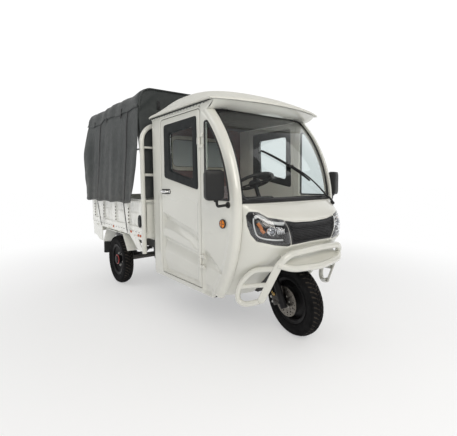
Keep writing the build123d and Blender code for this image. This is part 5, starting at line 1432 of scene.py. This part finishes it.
def header(u, w):
    """Panel from the top of the windscreen out to the visor's lip."""
    y = -0.516 + 1.032 * u
    t, r = math.radians(min(42.6 + 20.0 * y * y, 45.5)), 0.978 + 0.045 * max(0.0, 1 - (y / 0.470) ** 2) + 0.0045
    low = np.array((1.035 + r * math.cos(t), y, 0.907 + r * math.sin(t)))
    a = 1.826 + 0.118 * (1 - (y / 0.5645) ** 2) - 0.026
    high = np.array((a, y * 1.02, float(roof_base(np.array(a))) - 0.0004))
    q = low + (high - low) * w + np.array((0.006, 0.0, -0.010)) * math.sin(math.pi * w)
    return P(*q)


piece("header_panel", *slab(grid(61, 14, header), lambda q: (q[0] - 0.0012, q[1], q[2] + 0.0016)), "white", slot="white_paint", angle=60)


def cheek(u, w):
    """Closing panel between the pillar's head, the header panel and the roof."""
    a_low, a_high = 1.7236 - 0.074 * u, 1.8194 - 0.170 * u
    a = a_low + (a_high - a_low) * w
    low = 1.6078 - 0.010 * u
    return P(a, -0.516 - 0.0105 * w, low + (float(roof_base(np.array(a_high))) - 0.0004 - low) * w)


for s in (-1, 1):
    fl = flip if s > 0 else (lambda q: q)
    piece("pillar_cheek_left" if s > 0 else "pillar_cheek_right", *fl(slab(grid(16, 12, cheek), lambda q: (q[0], q[1] + 0.003, q[2]))), "white", slot="white_paint", angle=60)
ln = Bag()
v, f = grid(30, 26, lambda a, b: P(0.912 + 0.80 * a, -0.482 + 0.964 * b, 1.640 + 0.010 * math.sin(math.pi * b) * math.sin(math.pi * a) - 0.012 * (abs(2 * b - 1) ** 8)))
ln.add(v, [tuple(reversed(q)) for q in f])
ln.make("head_lining", "head", angle=60, thick=0.006, offset=-1.0)
# gutters along both sides, with drain slots, and the rubber under the lip
gut, slots, rub = Bag(), Bag(), Bag()
for s in (-1, 1):
    gut.add(*sweep([P(a, s * 0.5225, 1.6485) for a in np.linspace(0.905, 1.742, 40)], rect(0.013, 0.011, 0.003, 2), up=(0, 0, 1)))
    for k in range(19):
        a = 0.925 + 0.0435 * k
        slots.add(*rounded_box((st(a - 0.007), s * 0.5290 - 0.0011, 1.6462), (st(a + 0.007), s * 0.5290 + 0.0011, 1.6506), 0.0008, 1))
    rub.add(*sweep([P(a, s * 0.5345, 1.6555) for a in np.linspace(0.895, 1.780, 40)], rect(0.014, 0.0042, 0.0015, 2), up=(0, 0, 1)))
    rub.add(*sweep([P(a, s * 0.5025, 1.6555) for a in np.linspace(0.888, 1.700, 40)], rect(0.028, 0.0040, 0.0015, 2), up=(0, 0, 1)))
rub.add(*sweep([P(0.892, y, 1.6555) for y in np.linspace(-0.50, 0.50, 20)], rect(0.018, 0.0040, 0.0015, 2), up=(0, 0, 1)))
gut.make("roof_gutters", "white", slot="white_paint", angle=40)
slots.make("gutter_slots", "seal", angle=40)
rub.make("roof_rubber", "seal", angle=40)

# ------------------------------------------------------------------------------------
# windscreen: pane, black printed border, gasket, wiper
# ------------------------------------------------------------------------------------
ARC0, ARC1, R_GLASS = 3.6, 45.6, 0.978


def on_glass(y, angle, lift=0.0):
    t = math.radians(angle)
    r = R_GLASS + 0.045 * (1 - (y / 0.470) ** 2) + lift
    return P(1.035 + r * math.cos(t), y, 0.907 + r * math.sin(t))


deg = 180 / math.pi / R_GLASS                        # degrees for each metre up the glass
half_w, s0, s1 = 0.4694, ARC0 / deg, ARC1 / deg
pane = [(-half_w, s0), (half_w, s0), (half_w, s1), (-half_w, s1)]
hole = round_corners([(-half_w + 0.026, s0 + 0.030), (half_w - 0.026, s0 + 0.030), (half_w - 0.026, s1 - 0.024), (-half_w + 0.026, s1 - 0.024)], 0.055, 8)
pts, tris, _ = flat_mesh(pane, [hole], 0.02)
piece("screen_border", [on_glass(y, s * deg, 0.0007) for y, s in pts], [tuple(t) if (pts[t[1]][0] - pts[t[0]][0]) * (pts[t[2]][1] - pts[t[0]][1]) - (pts[t[2]][0] - pts[t[0]][0]) * (pts[t[1]][1] - pts[t[0]][1]) > 0 else tuple(reversed(t)) for t in tris], "gloss_black", angle=60, thick=0.0008, offset=-1.0)
v, f = grid(48, 40, lambda a, b: on_glass(-half_w + 2 * half_w * b, ARC0 + (ARC1 - ARC0) * a))
piece("screen_pane", v, [tuple(reversed(q)) for q in f], "glass", slot="clear_glass", replaces=("windscreen",), angle=60, thick=0.005, offset=-1.0)
path = [on_glass(y, s * deg, -0.001) for y, s in resample(inset(pane, 0.003), 0.02)]
piece("screen_gasket", *sweep(path, rect(0.010, 0.012, 0.004, 3), closed=True, up=(1, 0, 0)), "seal", angle=60)

wip = Bag()
wx, wy, wz = P(float(nose_x(0.404, 0.940)[0]) + 0.004, 0.404, 0.940)      # the pivot stands on the cowl below the glass
wip.add(*lathe([(0.0, 0.020), (0.010, 0.020), (0.013, 0.015), (0.014, -0.006), (0.0, -0.006)], (wx, wy, wz), "x", 20))
w_y, w_t = np.array((-0.239, 0.130, 0.400)), np.array((23.6, 13.4, 5.2))
arm = [on_glass(y, float(np.interp(y, w_y, w_t)), 0.018 + 0.016 * math.sin(math.pi * (0.400 - y) / 0.52)) for y in np.linspace(0.400, -0.010, 30)]
foot = np.array((wx + 0.012, wy, wz))
arm = [tuple(foot + (np.array(arm[0]) - foot) * k + np.array((0.008, 0.0, 0.004)) * math.sin(math.pi * k)) for k in np.linspace(0, 1, 10)[:-1]] + arm
wip.add(*sweep(arm, rect(0.015, 0.010, 0.004, 2), up=(1, 0, 0), scale=lambda t: 1.35 - 0.6 * t))
blade = [on_glass(y, float(np.interp(y, w_y, w_t)) + 0.15, 0.0095) for y in np.linspace(0.190, -0.245, 30)]
wip.add(*sweep(blade, rect(0.010, 0.014, 0.003, 2), up=(1, 0, 0)))
spine = [on_glass(y, float(np.interp(y, w_y, w_t)) + 0.15, 0.017 + 0.004 * math.sin(math.pi * (0.19 - y) / 0.435)) for y in np.linspace(0.180, -0.235, 24)]
wip.add(*sweep(spine, rect(0.0045, 0.006, 0.0015, 1), up=(1, 0, 0)))
mx, my, mz = on_glass(-0.012, float(np.interp(-0.012, w_y, w_t)), 0.020)
wip.add(*rounded_box((mx - 0.010, my - 0.020, mz - 0.009), (mx + 0.010, my + 0.020, mz + 0.009), 0.004, 2))
wip.make("wiper_arm", "black", slot="black_plastic", replaces=("wiper",), angle=45)

# ------------------------------------------------------------------------------------
# cab inside: rear wall and window, side panes, dash, seat, steering wheel
# ------------------------------------------------------------------------------------
M["cream"] = plastic("cream_trim", (0.60, 0.54, 0.44), 0.4, grain=0.05)
# light beige top pad: a painted reflection, its light colour standing in for the bright reflection low in the
# windscreen
M["beige"] = plastic("dash_pad", (0.33, 0.30, 0.255), 0.5, grain=0.25, scale=380)
M["dash"] = plastic("dash_plastic", (0.035, 0.035, 0.037), 0.5, grain=0.3, scale=420)
m, nt, b = new_mat("milky_pane")
nt.links.new(two_tone(nt, span(nt, noise(nt, coords(nt), 5, 4), 0, 1), (0.58, 0.61, 0.60), (0.70, 0.72, 0.70)), b.inputs["Base Color"])
b.inputs["Transmission Weight"].default_value = 0.25
b.inputs["IOR"].default_value = 1.3
nt.links.new(span(nt, noise(nt, coords(nt), 40, 4), 0.30, 0.55), b.inputs["Roughness"])
M["milky"] = m


def facing(pts, tris, sign=1):
    """Triangles of a flat mesh all wound one way."""
    out = []
    for t in tris:
        (x0, y0), (x1, y1), (x2, y2) = (pts[i] for i in t)
        out.append(tuple(t) if sign * ((x1 - x0) * (y2 - y0) - (x2 - x0) * (y1 - y0)) > 0 else tuple(reversed(t)))
    return out


def wall_skin(outer, holes, step, rims, x0, depth, sign, name, mat, thick, **kw):
    """Upright skin across the vehicle; outlines are (y, z), depth pushes it along x."""
    pts, tris, loops = flat_mesh(outer, holes, step, rims)
    p = np.array(pts)
    d_o = edge_distance(pts, [loops[0]])
    d_h = edge_distance(pts, loops[1:]) if holes else np.full(len(p), 1.0)
    h = depth(p[:, 0], p[:, 1], d_o, d_h)
    skin = [P(x0 + hh, y, z) for (y, z), hh in zip(pts, h)], facing(pts, tris, sign)
    return piece(name, *slab(skin, lambda q: (q[0] - sign * thick, q[1], q[2])), mat, angle=50, **kw)


win = round_corners([(-0.330, 1.250), (0.330, 1.250), (0.330, 1.505), (-0.330, 1.505)], 0.060, 8)
wall = [(-0.4866, 0.3186), (0.4866, 0.3186), (0.4866, 1.6548), (-0.4866, 1.6548)]


def rear_ribs(y, z, d_o, d_h):
    rib = np.maximum.reduce([step01(0.045 - np.abs(y - c), 0.0, 0.02) for c in (-0.30, -0.10, 0.10, 0.30)])
    return 0.007 * (1 - rib) * step01(z, 0.40, 0.43) * step01(1.03 - z, 0.0, 0.03)


wall_skin(wall, [win], 0.022, (0.004,), 0.8806, rear_ribs, -1, "cab_back_skin", "white", 0.006, slot="white_paint", replaces=("cab_rear_wall",))
wall_skin(wall, [inset(win, -0.004)], 0.03, (0.006,), 0.9035, lambda y, z, d_o, d_h: 0.0006 * np.cos(z * 70) - 0.003 * (1 - np.clip(d_o / 0.01, 0, 1)), 1, "cab_back_lining", "lining", 0.006)
fr = Bag()
fr.add(*sweep([P(0.9060, y, z) for y, z in resample(inset(win, -0.014), 0.02)], rect(0.034, 0.014, 0.005, 3), closed=True, up=(1, 0, 0)))
fr.make("rear_window_frame", "cream", angle=50)
fr = Bag()
fr.add(*sweep([P(0.8795, y, z) for y, z in resample(inset(win, -0.003), 0.02)], rect(0.020, 0.010, 0.004, 3), closed=True, up=(1, 0, 0)))
fr.add(*sweep([P(0.9030, y, z) for y, z in resample(inset(win, 0.003), 0.02)], rect(0.008, 0.010, 0.003, 2), closed=True, up=(1, 0, 0)))
fr.make("rear_window_rubber", "seal", angle=50)
wall_skin(inset(win, 0.0006), [], 0.05, (), 0.8885, lambda y, z, d_o, d_h: 0 * y, -1, "rear_pane", "milky", 0.005, slot="clear_glass", replaces=("cab_glass",))
qp, qt, _ = flat_mesh(inset(quarter, 0.0006), [], 0.04)
for tag, s in (("right", -1), ("left", 1)):
    fl = flip if s > 0 else (lambda q: q)
    piece(f"quarter_pane_{tag}", *fl(slab(([P(a, -0.5048, z) for a, z in qp], facing(qp, qt)), lambda q: (q[0], -0.4998, q[2]))), "tint", slot="clear_glass", replaces=("cab_glass",), angle=40)
    dg, dt, _ = flat_mesh(inset(frame_in, 0.0005), [], 0.04)
    lo_g, hi_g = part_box(f"door_glass_{tag}")
    yg = -max(abs(lo_g[1]), abs(hi_g[1]))
    piece(f"door_pane_{tag}", *fl(slab(([P(a, yg, z) for a, z in dg], facing(dg, dt)), lambda q: (q[0], yg + 0.0045, q[2]))), "tint", body=f"door_{tag}", slot="clear_glass", replaces=(f"door_glass_{tag}",), angle=40)

# dashboard: moulded body, soft top pad, instrument hood, vents
dash = Bag()
prof = round_corners([(1.590, 0.8006), (1.940, 0.8006), (1.975, 0.900), (1.700, 0.930), (1.610, 0.886)], (0.012, 0.006, 0.02, 0.03, 0.03), 6)
ys = np.concatenate([[-0.4448, -0.4440], np.linspace(-0.438, 0.438, 20), [0.4440, 0.4448]])
ctr = np.mean(prof, 0)
np_ = len(prof)
v = []
for y in ys:
    k = 0.97 if abs(y) > 0.4445 else (0.99 if abs(y) > 0.4435 else 1.0)
    v += [P(ctr[0] + (a - ctr[0]) * k, y, ctr[1] + (z - ctr[1]) * k) for a, z in prof]
f = [(i * np_ + j, i * np_ + (j + 1) % np_, (i + 1) * np_ + (j + 1) % np_, (i + 1) * np_ + j) for i in range(len(ys) - 1) for j in range(np_)]
f += [tuple(reversed(range(np_))), tuple((len(ys) - 1) * np_ + j for j in range(np_))]
dash.add(v, f)
for y in (-0.33, 0.33):                              # side vents
    dash.add(*sweep([P(1.606 + 0.020 * math.sin(t), y + 0.055 * math.cos(t), 0.862 + 0.026 * math.sin(t)) for t in np.linspace(0, 2 * math.pi, 28)[:-1]], ring(0.004, 8), closed=True))
    for k in range(4):
        z = 0.848 + 0.009 * k
        dash.add(*rounded_box((st(1.596), y - 0.046, z), (st(1.614), y + 0.046, z + 0.003), 0.001, 1))
dash.make("dash_body", "dash", slot="black_plastic", replaces=("dashboard",), angle=45)


def pad_top(a, b):
    y = -0.440 + 0.880 * b
    x1 = glass_x(y, 3.7)[0] - 0.020
    x = 1.660 + (x1 - 1.660) * a
    return P(x, y, 0.926 + 0.018 * step01(a, 0.0, 0.16) + 0.008 * a - 0.014 * step01(abs(y), 0.40, 0.44))


v, f = grid(26, 30, pad_top)
piece("dash_top_pad", v, [tuple(reversed(q)) for q in f], "beige", angle=60, thick=0.012, offset=-1.0)
hood = Bag()
hood.add(*rounded_box((st(1.655), -0.128, 0.930), (st(1.742), 0.128, 0.992), 0.018, 4))
hood.make("instrument_hood", "dash", slot="black_plastic", angle=50)
scr = Bag()
scr.add(*rounded_box((st(1.6525), -0.104, 0.942), (st(1.6575), 0.104, 0.981), 0.002, 2))
scr.make("instrument_screen", "gloss_black", angle=50)
slot_b = Bag()
for y in np.linspace(-0.36, 0.36, 13):
    slot_b.add(*rounded_box((st(1.925), y - 0.022, 0.9490), (st(1.937), y + 0.022, 0.9545), 0.002, 1))
slot_b.make("demist_slots", "seal", angle=50)

# seat: one wide cushion and a backrest, each with stitched channels
def sp(c, e):
    return math.copysign(abs(c) ** e, c)


def pad_shape(lo_, hi_, e, lean, seams, face):
    """Stuffed block: rounded superellipsoid with stitched channels on its show face."""
    c = [(a + b) / 2 for a, b in zip(lo_, hi_)]
    h = [(b - a) / 2 for a, b in zip(lo_, hi_)]

    def pt(u, w):
        a, q = 2 * math.pi * u, math.pi * (w - 0.5)
        x, y, z = sp(math.cos(q), e) * sp(math.cos(a), e), sp(math.cos(q), e) * sp(math.sin(a), e), sp(math.sin(q), e)
        X, Y, Z = c[0] + h[0] * x, c[1] + h[1] * y, c[2] + h[2] * z
        groove = sum(math.exp(-((Y - s) / 0.009) ** 2) for s in seams)
        swell = 0.010 * math.cos(math.pi * 0.5 * y) ** 0.5 if abs(y) < 1 else 0.0
        if face == "z" and z > 0.2:
            Z += (swell - 0.012 * groove - 0.006) * min(1, (z - 0.2) / 0.5)
        if face == "x" and x > 0.2:
            X += (swell - 0.012 * groove - 0.006) * min(1, (x - 0.2) / 0.5)
        return P(X + lean * (Z - lo_[2]), Y, Z)

    return grid(120, 56, pt, close_u=True)


seat = piece("seat_cushion", *pad_shape((0.928, -0.437, 0.601), (1.306, 0.437, 0.686), 0.22, 0.0, (-0.29, -0.145, 0.0, 0.145, 0.29), "z"), "vinyl", slot="seat_vinyl", replaces=("seat_cushions",), angle=60)
back = piece("seat_backrest", *pad_shape((0.909, -0.437, 0.702), (0.976, 0.437, 1.098), 0.24, -0.050, (-0.29, -0.145, 0.0, 0.145, 0.29), "x"), "vinyl", slot="seat_vinyl", replaces=("seat_cushions",), angle=60)

# steering wheel
S_WHEEL = 0.925
SW = Matrix(((math.cos(RAKE), 0, -math.sin(RAKE), AXIS_FOOT.x - S_WHEEL * math.sin(RAKE)), (0, 1, 0, 0), (math.sin(RAKE), 0, math.cos(RAKE), AXIS_FOOT.z + S_WHEEL * math.cos(RAKE)), (0, 0, 0, 1)))


def wheel_local(shape):
    v, f = shape
    return turned(([tuple(SW @ Vector(p)) for p in v], f))


sw = Bag()
sw.add(*wheel_local(sweep([(0.152 * math.cos(t), 0.152 * math.sin(t), 0.022) for t in np.linspace(0, 2 * math.pi, 73)[:-1]], ring(0.0125, 14), closed=True, scale=lambda t: 1 + 0.035 * math.sin(t * 2 * math.pi * 24))))
for turn in (90, 210, 330):
    c, s = math.cos(math.radians(turn)), math.sin(math.radians(turn))
    sw.add(*wheel_local(sweep([(r * c, r * s, 0.022 - 0.010 * (1 - (r - 0.04) / 0.11)) for r in np.linspace(0.038, 0.146, 8)], rect(0.010, 0.028, 0.004, 3), up=(-s, c, 0))))
sw.add(*wheel_local(lathe([(0.0, 0.031), (0.030, 0.030), (0.043, 0.025), (0.048, 0.016), (0.047, -0.006), (0.036, -0.014), (0.0, -0.014)], (0, 0, 0), "z", 36)))
sw.make("steering_wheel_rim", "black", body="steering", slot="black_plastic", replaces=("steering_wheel",), angle=50)

# ------------------------------------------------------------------------------------
# cargo bed: pressed side boards, bolts, lashing hooks, reflectors, charge port, rear lamps
# ------------------------------------------------------------------------------------
RIB_C = (-0.682, -0.355, 0.024, 0.382, 0.742)
board_loop = [(-0.720, 0.6556), (0.800, 0.6556), (0.800, 0.9548), (-0.720, 0.9548)]


def board_height(a, z, d_o, d_h):
    rib = np.maximum.reduce([step01(0.074 - np.abs(a - c), 0.0, 0.022) for c in RIB_C])
    rail = np.maximum(1 - step01(z, 0.690, 0.704), step01(z, 0.920, 0.932))
    taper = step01(z, 0.690, 0.720)
    gap = np.min(np.stack([np.abs(a - c) for c in RIB_C]), 0)
    panel = step01(gap, 0.098, 0.112) * step01(z, 0.728, 0.740) * (1 - step01(z, 0.818, 0.830))
    h = np.maximum(0.0148 * rib * taper, 0.0148 * rail) + 0.0050 * panel
    h -= 0.004 * (1 - np.clip(d_o / 0.006, 0, 1)) ** 2
    return h


pts, tris, loops = flat_mesh(board_loop, [], 0.0105, (0.003,))
pa = np.array(pts)
hb_ = board_height(pa[:, 0], pa[:, 1], edge_distance(pts, loops), None)
bolts_b, dashes, hooks_b = Bag(), Bag(), Bag()
for tag, s in (("right", -1), ("left", 1)):
    piece(f"side_board_{tag}", [P(a, s * (0.5648 + h), z) for (a, z), h in zip(pts, hb_)], facing(pts, tris, -s), "bed", slot="bed_paint", replaces=("bed_sides",), angle=35, thick=0.0165, offset=-1.0)
    for c in RIB_C:
        for k in range(5):
            bolts_b.add(*bolt((st(min(c + 0.060, 0.795)), s * 0.576, 0.716 + 0.034 * k), (0, s, 0), 0.0052, 0.005))
    for k in range(20):
        a = -0.675 + 0.0745 * k
        dashes.add(*rounded_box((st(a), s * 0.5752 - 0.001, 0.6395), (st(a + 0.036), s * 0.5752 + 0.001, 0.6440), 0.0008, 1))
    for a in (-0.52, -0.12, 0.24, 0.62):             # lashing hooks under the rail
        hooks_b.add(*tube([P(a - 0.028, s * 0.5735, 0.612), P(a - 0.028, s * 0.592, 0.606), P(a + 0.028, s * 0.592, 0.606), P(a + 0.028, s * 0.5735, 0.612)], 0.0038, 8, bend=0.010))
bolts_b.make("board_bolts", "cast", angle=40)
dashes.make("rail_slots", "seal", angle=40)
hooks_b.make("lashing_hooks", "bed", slot="bed_paint", angle=60)

M["orange"] = plastic("orange_reflector", (0.55, 0.10, 0.012), 0.16, grain=0.05, scale=500)
ref = Bag()
for s in (-1, 1):
    for a, z in ((0.003, 0.635), (0.493, 0.632), (0.666, 0.613), (0.713, 0.613)):
        ref.add(*rounded_box((st(a - 0.014), s * 0.5775 - 0.003, z - 0.011), (st(a + 0.014), s * 0.5775 + 0.003, z + 0.011), 0.002, 2))
ref.make("side_reflectors", "orange", slot="lamp_amber", angle=40)
port = Bag()
oval = [(0.722 + 0.036 * math.cos(t) * (1 if math.cos(t) > 0 else 0.8), 0.752 + 0.058 * math.sin(t)) for t in np.linspace(0, 2 * math.pi, 41)[:-1]]
for k, (d0, sc) in enumerate(((0.5780, 1.0), (0.5895, 1.0), (0.5925, 0.90), (0.5905, 0.80), (0.5935, 0.72))):
    port.v += [P(0.722 + (a - 0.722) * sc, -d0, 0.752 + (z - 0.752) * sc) for a, z in oval]
    if k:
        port.f += [((k - 1) * 40 + i, (k - 1) * 40 + (i + 1) % 40, k * 40 + (i + 1) % 40, k * 40 + i) for i in range(40)]
port.f.append(tuple(4 * 40 + i for i in range(40)))
port.make("charge_port_cover", "black", slot="black_plastic", angle=40)

# mud flaps: ribbed rubber, bolted along the top under a steel strip
for tag, s in (("right", -1), ("left", 1)):
    fl = flip if s > 0 else (lambda q: q)

    def flap_at(u, w):
        y, z = -0.5615 + 0.113 * u, 0.4235 - 0.153 * w
        rib = 0.0012 * max(0.0, math.cos(2 * math.pi * 6 * u)) * float(step01(w, 0.22, 0.28)) * float(step01(0.94 - w, 0.0, 0.05))
        corner = 0.010 * float(step01(w, 0.90, 1.0)) * (2 * u - 1) ** 4
        return P(-0.3735 + rib - 0.012 * w**2 - 0.002 * math.sin(math.pi * u) * w, y, z + corner)

    v, f = grid(49, 34, flap_at)
    flap = Bag()
    flap.add(*fl(slab((v, f), lambda q: (q[0] - 0.0055, q[1], q[2]))))
    flap.make(f"flap_sheet_{tag}", "flap", slot="flap_rubber", replaces=("mud_flaps",), angle=50)
    strip = Bag()
    strip.add(*fl(rounded_box((st(-0.3735), -0.5600, 0.4045), (st(-0.3705), -0.4500, 0.4215), 0.0012, 2)))
    for y in (-0.545, -0.505, -0.465):
        strip.add(*fl(bolt((st(-0.3705), y, 0.413), (1, 0, 0), 0.005, 0.004)))
    strip.make(f"flap_strip_{tag}", "galv", angle=40)

# tail lamps: housing with red, amber and clear chambers
for s, tag in ((-1, "right"), (1, "left")):
    hs = Bag()
    hs.add(*rounded_box((st(-0.7475), s * 0.470 - 0.070, 0.512), (st(-0.7422), s * 0.470 + 0.070, 0.578), 0.002, 2))
    hs.make(f"tail_housing_{tag}", "black", slot="black_plastic", angle=40)
    for k, (y0, y1, mat) in enumerate(((0.402, 0.448, "lens"), (0.450, 0.488, "amber"), (0.490, 0.538, "red"))):
        tl = Bag()
        tl.add(*rounded_box((st(-0.7558), min(s * y0, s * y1), 0.516), (st(-0.7470), max(s * y0, s * y1), 0.574), 0.004, 3))
        for j in range(6):
            z = 0.522 + 0.0085 * j
            tl.add(*rounded_box((st(-0.7562), min(s * y0, s * y1) + 0.004, z), (st(-0.7550), max(s * y0, s * y1) - 0.004, z + 0.003), 0.0005, 1))
        tl.make(f"tail_lens_{mat}_{tag}", mat, slot={"lens": "lamp_glass", "amber": "lamp_amber", "red": "lamp_red"}[mat], replaces=("tail_lamps",), angle=40)

# ------------------------------------------------------------------------------------
# mirrors, indicators, handle cups
# ------------------------------------------------------------------------------------
def about_z(shape, cx, cy, deg_):
    c, s = math.cos(math.radians(deg_)), math.sin(math.radians(deg_))
    v, f = shape
    return [(cx + (x - cx) * c - (y - cy) * s, cy + (x - cx) * s + (y - cy) * c, z) for x, y, z in v], f


MX, MY = st(1.952), -0.629
shell = []
for k, (x, sc) in enumerate(((-0.028, 0.955), (-0.0265, 0.985), (-0.022, 1.0), (0.004, 1.0), (0.016, 0.965), (0.023, 0.90), (0.027, 0.78), (0.028, 0.55))):
    shell.append([(MX + x, MY + y * (0.5 + 0.5 * sc) * (1 if sc > 0.9 else sc / 0.9), 1.091 + z * (0.6 + 0.4 * sc) * (1 if sc > 0.9 else 0.5 + 0.5 * sc / 0.9)) for y, z in rect(0.122, 0.192, 0.030, 7)])
nr = len(shell[0])
for tag, s in (("right", -1), ("left", 1)):
    fl = flip if s > 0 else (lambda q: q)
    mb, mg, stalk = Bag(), Bag(), Bag()
    v = [p for r_ in shell for p in r_]
    f = [(k * nr + i, (k + 1) * nr + i, (k + 1) * nr + (i + 1) % nr, k * nr + (i + 1) % nr) for k in range(len(shell) - 1) for i in range(nr)]
    f += [tuple((len(shell) - 1) * nr + i for i in reversed(range(nr))), tuple(range(nr))]
    mb.add(*fl(about_z((v, f), MX, MY, -20)))
    mb.make(f"mirror_shell_{tag}", "black", slot="black_plastic", replaces=("mirrors",), angle=50)
    face = rect(0.106, 0.176, 0.024, 7)
    v = [(MX - 0.0282, MY + y, 1.091 + z) for y, z in face] + [(MX - 0.0290, MY + y * 0.97, 1.091 + z * 0.98) for y, z in face]
    n = len(face)
    f = [(i, (i + 1) % n, n + (i + 1) % n, n + i) for i in range(n)] + [tuple(n + i for i in range(n))]
    mg.add(*fl(about_z((v, f), MX, MY, -20)))
    mg.make(f"mirror_plate_{tag}", "mirror", slot="chrome", angle=40)
    stalk.add(*fl(tube([P(1.950, -0.517, 0.962), P(1.951, -0.560, 0.960), P(1.952, -0.606, 0.957), P(1.952, -0.614, 1.004)], 0.0088, 14, bend=0.016)))
    stalk.add(*fl(lathe([(0.0, -0.010), (0.017, -0.010), (0.020, -0.006), (0.021, 0.002), (0.0, 0.002)], (st(1.950), -0.5175, 0.962), "y", 24)))
    stalk.add(*fl(lathe([(0.0, 0.012), (0.015, 0.012), (0.016, 0.004), (0.013, -0.006), (0.0, -0.006)], (st(1.952), -0.6155, 0.992), "z", 20)))
    stalk.make(f"mirror_stalk_{tag}", "black", slot="black_plastic", angle=50)
    # round amber indicator: black bezel with a cross over a ribbed lens
    lens, bez = Bag(), Bag()
    lens.add(*fl(lathe([(0.0275, 0.0), (0.0265, -0.006), (0.022, -0.0105), (0.014, -0.0125), (0.012, -0.0118), (0.010, -0.0130), (0.0, -0.0136)], (st(1.892), -0.5172, 0.835), "y", 40)))
    lens.make(f"indicator_lens_{tag}", "amber", slot="lamp_amber", replaces=("side_indicators",), angle=35)
    bez.add(*fl(lathe([(0.0310, 0.001), (0.0310, -0.0065), (0.0290, -0.0090), (0.0265, -0.0085), (0.0262, -0.0050)], (st(1.892), -0.5172, 0.835), "y", 40)))
    for w, h in ((0.0040, 0.046), (0.046, 0.0040)):
        bez.add(*fl(rounded_box((st(1.892) - w / 2, -0.5312, 0.835 - h / 2), (st(1.892) + w / 2, -0.5250, 0.835 + h / 2), 0.0012, 2)))
    bez.make(f"indicator_bezel_{tag}", "black", slot="black_plastic", angle=40)
    cup = Bag()
    plate_ = rect(0.150, 0.040, 0.019, 7)
    n = len(plate_)
    v = []
    for d, sc in ((0.5160, 1.0), (0.5205, 1.0), (0.5215, 0.965), (0.5185, 0.90), (0.5180, 0.3)):
        v += [P(1.121 + a * sc, -d, 1.034 + z * sc) for a, z in plate_]
    f = [(k * n + i, k * n + (i + 1) % n, (k + 1) * n + (i + 1) % n, (k + 1) * n + i) for k in range(4) for i in range(n)] + [tuple(4 * n + i for i in range(n))]
    cup.add(*fl((v, f)))
    cup.make(f"handle_cup_{tag}", "black", body=f"door_{tag}", slot="black_plastic", angle=40)
